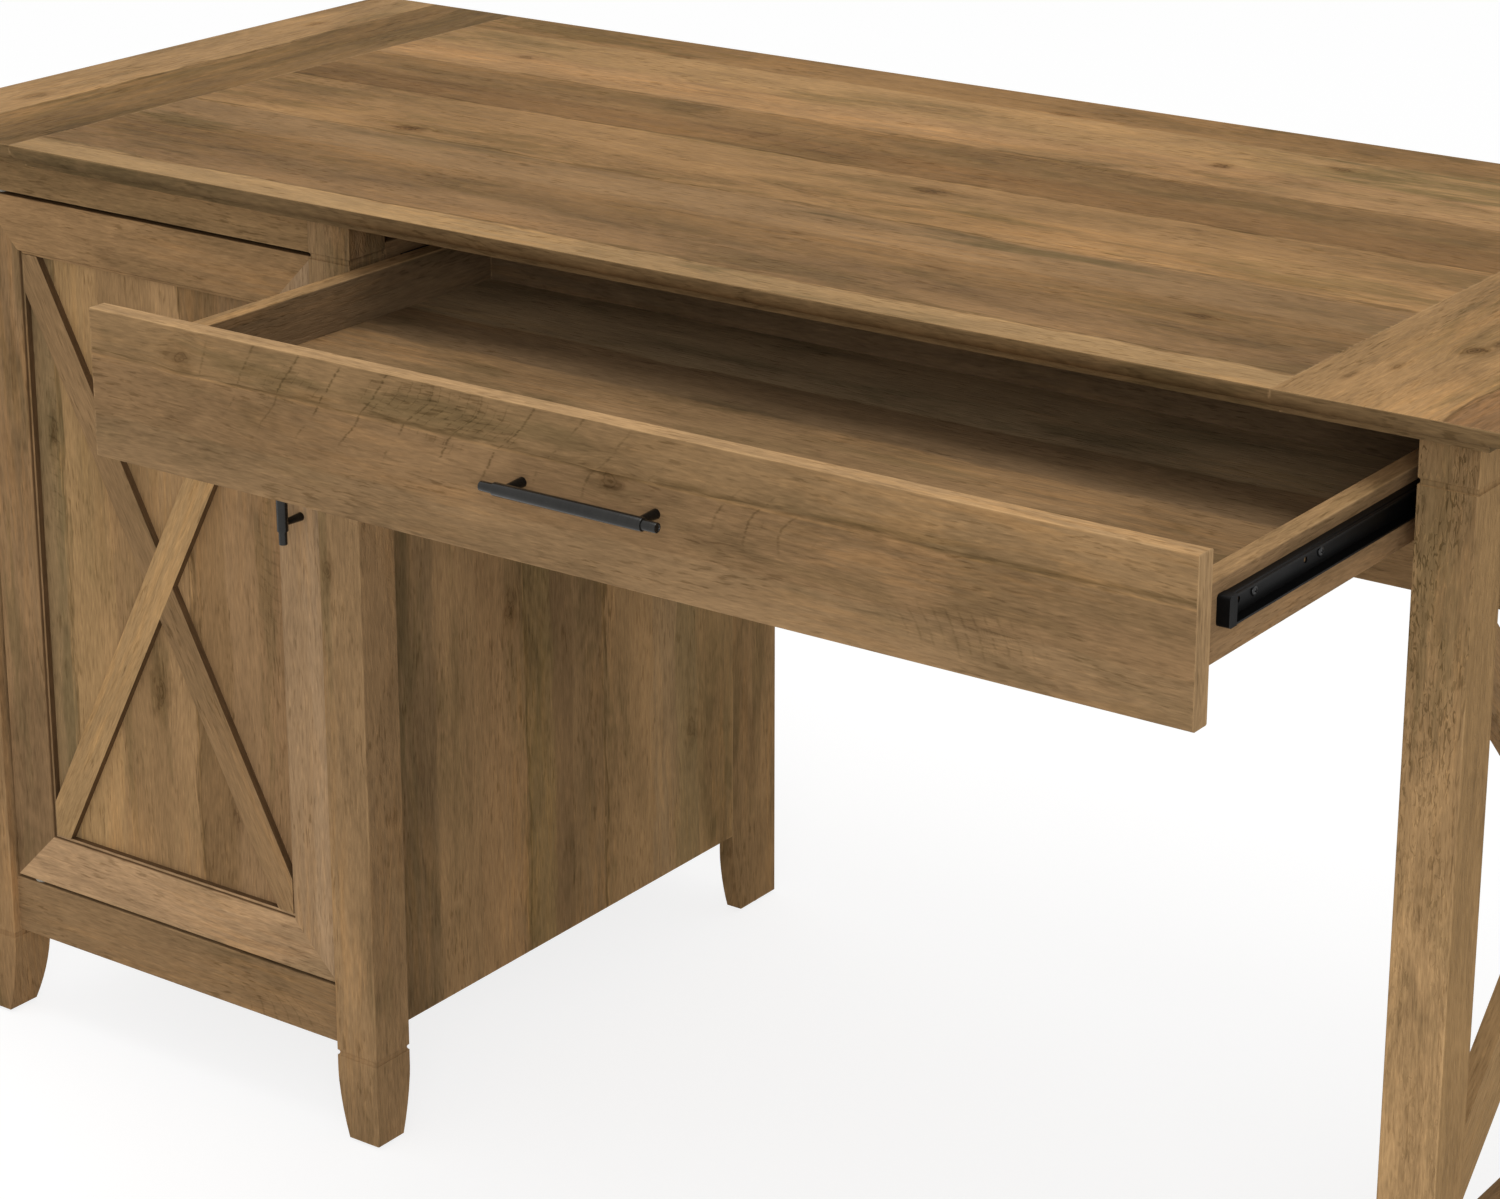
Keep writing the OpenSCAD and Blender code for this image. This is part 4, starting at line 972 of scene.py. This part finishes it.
DOOR_PRINTS = (
    OakPrint("oak_door_stile_left", ("door_hinge_stile",), Z, X, planks((0, 140, 111, 79)),
        # Darker towards the bottom: painted shade, with the print's own tone; its flanks take the painted
        # edge shade.
        seed=8.1, sides=DOOR_PAINTED_EDGE_SHADE, painted_light_and_tone=((127, 0.9), (260, 0.93), (420, 1), (709, 1.02)),
        stains=spots((330, -600, 110, 10, 0.7), (520, -590, 60, 6, 0.4))),
    OakPrint("oak_door_stile_right", ("door_pull_stile",), Z, X,
        planks((-320, 155, 126, 94), (-284, 163, 134, 102)),
        seed=8.9, contrast=0.6, stain=0.12, sides=DOOR_PAINTED_EDGE_SHADE),
    OakPrint("oak_door_rail_top", ("door_top_rail",), X, Z, planks((0, 150, 118, 82)),
        seed=9.4, stain=0.25, sides=DOOR_PAINTED_EDGE_SHADE),
    OakPrint("oak_door_rail_bottom", ("door_bottom_rail",), X, Z, planks((0, 175, 142, 106)),
        seed=9.8, stain=0.3, sides=DOOR_PAINTED_EDGE_SHADE),
    OakPrint("oak_door_panel", ("door_panel",), Z, X,
        planks((-575, 138, 113, 80), (-545, 160, 128, 88), (-515, 161, 128, 88), (-494, 149, 118, 82),
            (-440, 160, 127, 89), (-409, 134, 105, 72), (-372, 144, 114, 81), (-342, 143, 112, 79),
            (-311, 153, 122, 86)), seed=7.7, contrast=0.55, stain=0.3, seams=(-409, -545),
        knots=spots((326, -449, 22, 10, 0.7), (236, -372, 14, 5, 0.6), (520, -552, 16, 5, 0.7)),
        stains=spots((322, -449, 40, 14, 0.5), (470, -550, 110, 8, 0.7), (300, -552, 110, 8, 0.6),
            (250, -487, 90, 6, 0.5), (390, -331, 150, 9, 0.55), (520, -325, 60, 6, 0.5)),
        saw=saw((450, -328, 90, 14, 0.45, 9, 0.12), (500, -552, 90, 10, 0.5, 16, 0.5))),
)


# ---------- Shared making ----------


def dress(node: str, material: Material) -> None:
    """Gives a CAD node a material in each of its object's slots."""
    for slot in frame["nodes"][node].material_slots:
        slot.link = "OBJECT"
        slot.material = material
    LOG.info("%s is dressed in %s", node, material.name)


def link_mesh(name: str, mesh: Mesh) -> bpy.types.Object:
    """Puts a mesh in the scene as an object at the origin."""
    piece = bpy.data.objects.new(name, mesh)
    bpy.context.scene.collection.objects.link(piece)
    return piece


def settle(piece: bpy.types.Object, body: str, slot: Slot, *replaced: str) -> None:
    """Fixes a finished piece to its body.

    Args:
        piece: The finished piece.
        body: The CAD body that carries it.
        slot: The record's material slot of its finish; not used.
        replaced: CAD nodes that it stands for.
    """
    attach(piece, body)
    if replaced:
        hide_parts(*replaced)
    LOG.info("%s rides on %s", piece.name, body)


@dataclass
class Lathe:
    """A turned piece: a profile of (distance along the axis, radius) pairs in mm, swept round the axis."""

    profile: list[tuple[float, float]]
    steps: int = 48
    sharp_deg: float = 32.0

    def mesh(self, name: str, turn: Matrix) -> Mesh:
        """Sweeps the profile.

        Args:
            name: Name of the mesh.
            turn: Carries the axis +Z at the origin to its place.

        Returns:
            A closed mesh with smooth flanks and sharp shoulders.
        """
        work = bmesh.new()
        rings = [self._ring(work, along, radius) for along, radius in self.profile]
        for low, high in zip(rings, rings[1:]):
            for i in range(self.steps):
                j = (i + 1) % self.steps
                if len(low) == 1:
                    work.faces.new((low[0], high[j], high[i]))
                elif len(high) == 1:
                    work.faces.new((low[i], low[j], high[0]))
                else:
                    work.faces.new((low[i], low[j], high[j], high[i]))
        bmesh.ops.recalc_face_normals(work, faces=work.faces)
        limit = math.radians(self.sharp_deg)
        for face in work.faces:
            face.smooth = True
        for edge in work.edges:
            edge.smooth = len(edge.link_faces) < 2 or edge.calc_face_angle(0.0) < limit
        work.transform(turn)
        mesh = bpy.data.meshes.new(name)
        work.to_mesh(mesh)
        work.free()
        return mesh

    def _ring(self, work: bmesh.types.BMesh, along: float, radius: float) -> list[bmesh.types.BMVert]:
        """Adds the points of one ring, or a single one where the radius is 0."""
        if radius <= 0:
            return [work.verts.new((0, 0, along * MM))]
        angles = [2 * math.pi * i / self.steps for i in range(self.steps)]
        return [work.verts.new((radius * MM * math.cos(angle), radius * MM * math.sin(angle), along * MM))
                for angle in angles]


class Recipe(Wiring):
    """A Geometry Nodes tree under construction, with one geometry input and output."""

    def __init__(self, name: str, sizes: dict[str, tuple[str, float | int]]) -> None:
        """Starts a tree.

        Args:
            name: Name of the tree.
            sizes: Socket type, such as "Float", and default of each named size.
        """
        super().__init__(bpy.data.node_groups.new(name, "GeometryNodeTree"))
        face = self.tree.interface
        for way in ("INPUT", "OUTPUT"):
            face.new_socket("Geometry", in_out=way, socket_type="NodeSocketGeometry")
        self.ids: dict[str, str] = {}
        for key, (kind, value) in sizes.items():
            socket = face.new_socket(key, in_out="INPUT", socket_type="NodeSocket" + kind)
            socket.default_value = value
            self.ids[key] = socket.identifier
        self.start = self.tree.nodes.new("NodeGroupInput")
        self.end = self.tree.nodes.new("NodeGroupOutput")

    def size(self, key: str) -> Socket:
        """Returns a named input of the tree."""
        return self.start.outputs[key]

    def times(self, a: object, b: object) -> Socket:
        """Multiplies two numbers."""
        return self.out("ShaderNodeMath", {"operation": "MULTIPLY"}, {0: a, 1: b})

    def vector(self, x: object, y: object, z: object) -> Socket:
        """Joins three numbers."""
        return self.out("ShaderNodeCombineXYZ", {}, {0: x, 1: y, 2: z})

    def ball(self, segments: int, rings: int, radius: object) -> Socket:
        """Adds a smooth ball."""
        inputs = {"Segments": segments, "Rings": rings, "Radius": radius}
        made = self.out("GeometryNodeMeshUVSphere", {}, inputs)
        return self.out("GeometryNodeSetShadeSmooth", {}, {"Geometry": made})

    def moved(self, geometry: Socket, **how: object) -> Socket:
        """Moves, turns or scales a shape."""
        return self.out("GeometryNodeTransform", {}, {"Geometry": geometry, **how})

    def spread(self, points: Socket, shape: Socket, **how: object) -> Socket:
        """Sets a shape on each point."""
        return self.out("GeometryNodeInstanceOnPoints", {}, {"Points": points, "Instance": shape, **how})

    def close(self, geometry: Socket, material: Material) -> "Recipe":
        """Ends the tree with Realize Instances and Set Material, and returns the recipe."""
        real = self.out("GeometryNodeRealizeInstances", {}, {0: geometry})
        done = self.out("GeometryNodeSetMaterial", {}, {"Geometry": real, "Material": material})
        self.put(self.end.inputs[0], done)
        return self

    def bake(self, name: str, base: Mesh, sizes: dict[str, float | int] | None = None) -> bpy.types.Object:
        """Runs the tree on a mesh and keeps the result as a plain mesh.

        Args:
            name: Name of the finished piece.
            base: The mesh that goes into the tree.
            sizes: Values of the named inputs that differ from their defaults.

        Returns:
            The finished piece, without a modifier.
        """
        piece = link_mesh(name, base)
        modifier = piece.modifiers.new("make", "NODES")
        modifier.node_group = self.tree
        for key, value in (sizes or {}).items():
            modifier[self.ids[key]] = value
        graph = bpy.context.evaluated_depsgraph_get()
        mesh = bpy.data.meshes.new_from_object(piece.evaluated_get(graph), depsgraph=graph)
        piece.modifiers.remove(modifier)
        piece.data = mesh
        mesh.name = name
        return piece


def seat_mesh(name: str, seats: list[tuple[Point, Point]]) -> Mesh:
    """Makes loose points with a direction each.

    Args:
        name: Name of the mesh.
        seats: Place and outward direction of each seat.

    Returns:
        A mesh of vertices with the vector attribute "outward".
    """
    mesh = bpy.data.meshes.new(name)
    mesh.from_pydata([seat for seat, _ in seats], [], [])
    outward = mesh.attributes.new("outward", "FLOAT_VECTOR", "POINT")
    for i, (_, direction) in enumerate(seats):
        outward.data[i].vector = direction
    return mesh


def screw_recipe(material: Material) -> Recipe:
    """Builds the tree that sets pan-head screws with a cross recess on seats.

    Args:
        material: Finish of the screws.

    Returns:
        The tree, with the head's radius and height and the shank's radius and length as inputs.
    """
    dome_at, dome_height = 0.3, 0.7
    slot_length, slot_width, slot_at = 1.15, 0.26, 0.98
    sizes = {"Head Radius": 3.2, "Head Height": 1.6, "Shank Radius": 1.6, "Shank Length": 11.0}
    tree = Recipe("pan_head_screws", {key: ("Float", size * MM) for key, size in sizes.items()})
    radius, height, length = tree.size("Head Radius"), tree.size("Head Height"), tree.size("Shank Length")
    dome = tree.moved(tree.ball(20, 14, 1.0),
                      Translation=tree.vector(0.0, 0.0, tree.times(height, dome_at)),
                      Scale=tree.vector(radius, radius, tree.times(height, dome_height)))
    head = tree.node("GeometryNodeMeshBoolean", {"operation": "DIFFERENCE"}, {"Mesh 1": dome})
    for turn in (0.0, math.pi / 2):
        slot = tree.vector(tree.times(radius, slot_length), tree.times(radius, slot_width), height)
        cutter = tree.moved(tree.out("GeometryNodeMeshCube", {}, {"Size": slot}), Rotation=(0.0, 0.0, turn),
                            Translation=tree.vector(0.0, 0.0, tree.times(height, slot_at)))
        tree.put(head.inputs["Mesh 2"], cutter)
    rod = {"Vertices": 14, "Radius": tree.size("Shank Radius"), "Depth": length}
    shank = tree.moved(tree.out("GeometryNodeMeshCylinder", {}, rod),
                       Translation=tree.vector(0.0, 0.0, tree.times(length, -0.5)))
    both = tree.node("GeometryNodeJoinGeometry", {}, {})
    for part in (head.outputs[0], shank):
        tree.put(both.inputs[0], part)
    outward = tree.out("GeometryNodeInputNamedAttribute", {"data_type": "FLOAT_VECTOR"}, {"Name": "outward"})
    align = tree.out("FunctionNodeAlignEulerToVector", {"axis": "Z"}, {"Vector": outward})
    return tree.close(tree.spread(tree.start.outputs[0], both.outputs[0], Rotation=align), material)


def brad_recipe(material: Material) -> Recipe:
    """Builds the tree that drives flat-headed brads at even steps along the edges of a mesh.

    Args:
        material: Finish of the brads.

    Returns:
        The tree, with the brads' radius and the step between them as inputs.
    """
    flatness = 0.28
    tree = Recipe("brads", {"Radius": ("Float", 1.6 * MM), "Step": ("Float", 80 * MM)})
    line = tree.out("GeometryNodeMeshToCurve", {}, {0: tree.start.outputs[0]})
    even = tree.out("GeometryNodeResampleCurve", {"mode": "LENGTH"}, {0: line, "Length": tree.size("Step")})
    brad = tree.moved(tree.ball(12, 8, tree.size("Radius")), Scale=(1.0, flatness, 1.0))
    return tree.close(tree.spread(even, brad), material)


def ball_recipe(material: Material) -> Recipe:
    """Builds the tree that lays a row of balls from each point of a mesh.

    Args:
        material: Finish of the balls.

    Returns:
        The tree, with the balls' radius, number and pitch as inputs.
    """
    sizes = {"Radius": ("Float", 1.75 * MM), "Count": ("Int", 6), "Pitch": ("Float", 12 * MM)}
    tree = Recipe("ball_rows", sizes)
    step = tree.out("ShaderNodeCombineXYZ", {}, {1: tree.size("Pitch")})
    row = tree.out("GeometryNodeMeshLine", {}, {"Count": tree.size("Count"), "Offset": step})
    balls = tree.spread(row, tree.ball(20, 12, tree.size("Radius")))
    return tree.close(tree.spread(tree.start.outputs[0], balls), material)


# ---------- Sub-assemblies ----------


@dataclass(frozen=True)
class Cross:
    """An X of braces in an upright plane: one whole diagonal and two halves."""

    stem: str
    level: Axis
    seed: float
    # Painted shade tone for the braces' flanks.
    sides: Tone | None = None
    seed_step: float = 0.31
    whole: tuple[Plank, ...] = planks((0, 163, 131, 91))
    half: tuple[Plank, ...] = planks((0, 136, 108, 76))

    def build(self) -> None:
        """Gives each brace a print that runs along it."""
        low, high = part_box(self.stem + "_long")
        slope = math.degrees(math.atan2(high.z - low.z, high[self.level.value] - low[self.level.value]))
        for i, (end, turn) in enumerate((("long", slope), ("upper", -slope), ("lower", -slope))):
            node = f"{self.stem}_{end}"
            tone, stain, contrast = (self.whole, 0.1, 0.5) if end == "long" else (self.half, 0.25, 0.8)
            OakPrint("oak_" + node, (node,), self.level, Z, tone, seed=self.seed + self.seed_step * i,
                     turn=turn, stain=stain, contrast=contrast, sides=self.sides).print_boards()


@dataclass(frozen=True)
class Pull:
    """A bar pull: its turned bar, with its posts and screws from the CAD."""

    stem: str
    body: str
    axis: Axis
    finish: TurnedMetal
    length: float = 135.0
    middle: float = 114.0
    radius: float = 4.4
    tip_radius: float = 3.3

    def profile(self) -> list[tuple[float, float]]:
        """Returns the bar's outline from end to end, with its stepped tips and their hollow faces."""
        half, step, tip = self.length / 2, self.middle / 2, self.tip_radius
        side = [(step - 0.7, self.radius), (step - 0.2, self.radius - 0.15), (step, self.radius - 0.6),
                (step, tip), (half - 0.7, tip), (half - 0.2, tip - 0.15), (half, tip - 0.6),
                (half, tip - 1.2), (half - 0.4, tip - 1.5), (half - 0.4, 0.0)]
        return [(-x, r) for x, r in reversed(side)] + side

    def build(self) -> None:
        """Turns the bar in place of its CAD node, and dresses the posts and screws."""
        node = self.stem + "_bar"
        low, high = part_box(node)
        turn = Matrix.Rotation(math.pi / 2, 4, "Y") if self.axis is X else Matrix.Identity(4)
        place = Matrix.Translation((low + high) / 2) @ turn
        bar = link_mesh(node + "_turned", Lathe(self.profile()).mesh(node + "_turned", place))
        bar.data.materials.append(self.finish.material())
        settle(bar, self.body, Slot.BLACK_PULL, node)
        dress(self.stem + "_posts", POST_Y.material())
        dress(self.stem + "_screws", ZINC.material())


@dataclass(frozen=True)
class Boarded:
    """A sub-assembly of printed boards, with a cross of braces or a pull where it has one."""

    prints: tuple[OakPrint, ...]
    cross: Cross | None = None
    pull: Pull | None = None

    def build(self) -> None:
        """Prints the boards and builds the cross and the pull."""
        for part in self.prints:
            part.print_boards()
        for part in (self.cross, self.pull):
            if part is not None:
                part.build()


@dataclass(frozen=True)
class Desktop(Boarded):
    """The planked field between two breadboard ends."""

    prints: tuple[OakPrint, ...] = DESKTOP_PRINTS


@dataclass(frozen=True)
class Carcass(Boarded):
    """What stands under the desktop: the pedestal, the right legs with their rails and X, and the panels."""

    prints: tuple[OakPrint, ...] = CARCASS_PRINTS
    cross: Cross | None = Cross("end_brace", Y, 24.0)


@dataclass(frozen=True)
class Drawer(Boarded):
    """The wide drawer with its pull."""

    prints: tuple[OakPrint, ...] = DRAWER_PRINTS
    pull: Pull | None = Pull("drawer_pull", "drawer", X, PULL_X)


@dataclass(frozen=True)
class Door(Boarded):
    """The framed door with its panel, its X and its pull."""

    prints: tuple[OakPrint, ...] = DOOR_PRINTS
    cross: Cross | None = Cross("door_brace", X, 23.0, DOOR_PAINTED_EDGE_SHADE)
    pull: Pull | None = Pull("door_pull", "door", Z, PULL_Z)


@dataclass(frozen=True)
class Slides:
    """The two ball-bearing slides: members, cages, balls, bumpers and screws; sizes in mm."""

    knee_left: float = -222.5
    knee_right: float = 617.5
    gap: float = 12.7
    sheet: float = 1.2
    centre_z: float = 694.0
    inner_front: float = -353.3
    outer_front: float = -86.3
    inner_screws: tuple[float, ...] = (32.0, 112.0, 290.0)
    outer_screws: tuple[float, ...] = (40.0, 165.0, 310.0)
    ball_radius: float = 1.75
    ball_count: int = 6
    ball_pitch: float = 12.0
    first_ball: float = -74.8
    ball_depth: float = 6.6
    ball_height: float = 10.65

    def _place(self, side: int, depth: float, y: float, z: float) -> Point:
        """Returns a point in metres from its depth out of the desk's wall on side 0 (left) or 1 (right)."""
        x = self.knee_left + depth if side == 0 else self.knee_right - depth
        return (x * MM, y * MM, z * MM)

    def build(self, zinc: Material) -> None:
        """Dresses the members and bumpers, and makes the screws and balls."""
        for member in ("outer", "inner"):
            for side in ("left", "right"):
                dress(f"slide_{member}_{side}", E_COAT.material())
        dress("slide_bumpers", SOFT_BLACK.material())
        screws = screw_recipe(BLACK_SCREW.material())
        inner = [self.inner_front + y for y in self.inner_screws]
        outer = [self.outer_front + y for y in self.outer_screws]
        self._set_screws(screws, "drawer", self.gap - self.sheet, inner, -1.0)
        self._set_screws(screws, "desk", self.sheet, outer, 1.0)
        self._set_balls(zinc)

    def _set_screws(self, screws: Recipe, body: str, depth: float, places: list[float],
                    facing: float) -> None:
        """Sets the screws of both slides' members on one body.

        Args:
            screws: The tree that makes them.
            body: The body that carries the members.
            depth: How far from the desk's walls the heads sit.
            places: Where they are from front to back.
            facing: 1 where the left ones face right and the right ones left, -1 the other way.
        """
        seats = [(self._place(side, depth, y, self.centre_z), (outward, 0.0, 0.0))
                 for side, outward in enumerate((facing, -facing)) for y in places]
        name = f"{body}_slide_screws"
        settle(screws.bake(name + "_set", seat_mesh(name + "_seats", seats)), body, Slot.BLACK_STEEL, name)

    def _set_balls(self, zinc: Material) -> None:
        """Lays the balls of each cage in two rows, and dresses the cages."""
        balls = ball_recipe(BEARING.material())
        sizes = {"Radius": self.ball_radius * MM, "Count": self.ball_count, "Pitch": self.ball_pitch * MM}
        for side, word in enumerate(("left", "right")):
            levels = (self.centre_z - self.ball_height, self.centre_z + self.ball_height)
            starts = [(self._place(side, self.ball_depth, self.first_ball, level), (0.0, 1.0, 0.0))
                      for level in levels]
            name = f"slide_balls_{word}"
            piece = balls.bake(name + "_set", seat_mesh(f"ball_starts_{word}", starts), sizes)
            settle(piece, f"{word}_cage", Slot.BALL_STEEL, name)
            dress(f"ball_cage_{word}", zinc)


@dataclass(frozen=True)
class Hardware:
    """Brackets, glides, shelf pins, hinge pins and bushes, catch and strike, and the back panels' brads."""

    brad_inset: float = 7.5

    def build(self, zinc: Material) -> None:
        """Dresses the small parts and drives the brads."""
        nylon = NYLON.material()
        for node in ("top_brackets", "shelf_pins", "hinge_pins", "strike_plate"):
            dress(node, zinc)
        for node in ("foot_glides", "hinge_bushes", "magnet_catch"):
            dress(node, nylon)
        brads, inset = brad_recipe(zinc), self.brad_inset * MM
        for panel in ("pedestal_back_panel", "modesty_panel"):
            low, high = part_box(panel)
            left, right, bottom, top = low.x + inset, high.x - inset, low.z + inset, high.z - inset
            rim = ((left, bottom), (right, bottom), (right, top), (left, top))
            base = bpy.data.meshes.new(panel + "_rim")
            base.from_pydata([(x, high.y, z) for x, z in rim], [(0, 1), (1, 2), (2, 3), (3, 0)], [])
            settle(brads.bake(panel + "_brads", base), "desk", Slot.ZINC)


# ---------- Studio ----------


@dataclass(frozen=True)
class Lamp:
    """A square area lamp: its place, the point that it faces, its side in metres and its power in watts."""

    name: str
    at: Point
    towards: Point
    size: float
    energy: float

    def hang(self) -> None:
        """Hangs the lamp."""
        data = bpy.data.lights.new(self.name, "AREA")
        data.size, data.energy = self.size, self.energy
        lamp = bpy.data.objects.new(self.name, data)
        lamp.location = self.at
        lamp.rotation_euler = (Vector(self.towards) - Vector(self.at)).to_track_quat("-Z", "Y").to_euler()
        bpy.context.scene.collection.objects.link(lamp)


@dataclass(frozen=True)
class Studio:
    """Pale floor and surroundings, soft lamps and the camera."""

    camera_at: Point = (1.521, -2.082, 1.418)
    yaw: float = 35.62
    pitch: float = 17.62
    lens: float = 89.78
    shift_y: float = -0.12
    sensor: float = 36.0
    sees: tuple[float, float] = (0.05, 60.0)
    ambient: float = 0.60
    floor_reach: float = 12.0
    floor_tone: float = 0.82
    floor_glow: float = 0.80
    floor_shadow: float = 0.30
    lamps: tuple[Lamp, ...] = (Lamp("key", (0.1, -0.45, 3.2), (0.0, -0.05, 0.76), 1.4, 24.0),
                               Lamp("fill", (2.2, -3.2, 1.5), (0.0, -0.1, 0.45), 2.0, 53.0))

    def build(self) -> None:
        """Makes the camera, the world, the floor and the lamps."""
        self._camera()
        self._world()
        self._floor()
        for lamp in self.lamps:
            lamp.hang()
        bpy.context.scene.view_settings.view_transform = "Standard"

    def _camera(self) -> None:
        """Sets the camera at the front right, looking down."""
        data = bpy.data.cameras.new("camera")
        data.lens, data.sensor_width, data.shift_y = self.lens, self.sensor, self.shift_y
        data.clip_start, data.clip_end = self.sees
        camera = bpy.data.objects.new("camera", data)
        camera.location = self.camera_at
        camera.rotation_euler = (math.radians(90 - self.pitch), 0.0, math.radians(self.yaw))
        bpy.context.scene.collection.objects.link(camera)
        bpy.context.scene.camera = camera

    def _world(self) -> None:
        """Lights the desk softly from all round, and shows white behind it."""
        world = bpy.data.worlds.new("studio")
        world.use_nodes = True
        bpy.context.scene.world = world
        wiring = Wiring(world.node_tree)
        back = wiring.tree.nodes["Background"]
        inputs = {0: self._seen(wiring), 3: self.ambient, 4: 1.0}
        wiring.put(back.inputs["Strength"], wiring.out("ShaderNodeMapRange", {}, inputs))
        wiring.put(back.inputs["Color"], grey(1.0))

    @staticmethod
    def _seen(wiring: Wiring) -> Socket:
        """Returns 1 for what the camera sees, straight, in a reflection or through glass, and else 0."""
        path = wiring.node("ShaderNodeLightPath", {}, {})
        seen = path.outputs["Is Camera Ray"]
        for ray in ("Is Glossy Ray", "Is Transmission Ray"):
            seen = wiring.out("ShaderNodeMath", {"operation": "MAXIMUM"}, {0: seen, 1: path.outputs[ray]})
        return seen

    def _floor(self) -> None:
        """Lays a pale floor that shows white, with the desk's soft shadow."""
        mesh = bpy.data.meshes.new("floor")
        side = self.floor_reach
        corners = [(-side, -side, 0), (side, -side, 0), (side, side, 0), (-side, side, 0)]
        mesh.from_pydata(corners, [], [(0, 1, 2, 3)])
        floor = link_mesh("floor", mesh)
        bench = Bench("floor_white")
        pale = bench.out("ShaderNodeBsdfDiffuse", {}, {"Color": grey(self.floor_tone)})
        glow = bench.out("ShaderNodeEmission", {}, {"Color": grey(1.0), "Strength": self.floor_glow})
        faint = bench.out("ShaderNodeBsdfDiffuse", {}, {"Color": grey(self.floor_shadow)})
        both = bench.out("ShaderNodeAddShader", {}, {0: faint, 1: glow})
        shown = bench.out("ShaderNodeMixShader", {}, {0: self._seen(bench), 1: pale, 2: both})
        bench.put(bench.tree.nodes["Material Output"].inputs["Surface"], shown)
        floor.data.materials.append(bench.material)


def main() -> None:
    """Builds and dresses the desk and its surroundings."""
    logging.basicConfig(level=logging.INFO, format="%(message)s")
    Studio().build()
    zinc = ZINC.material()
    for part in (Desktop(), Carcass(), Drawer(), Door()):
        part.build()
    Slides().build(zinc)
    Hardware().build(zinc)


if __name__ == "__main__":
    main()
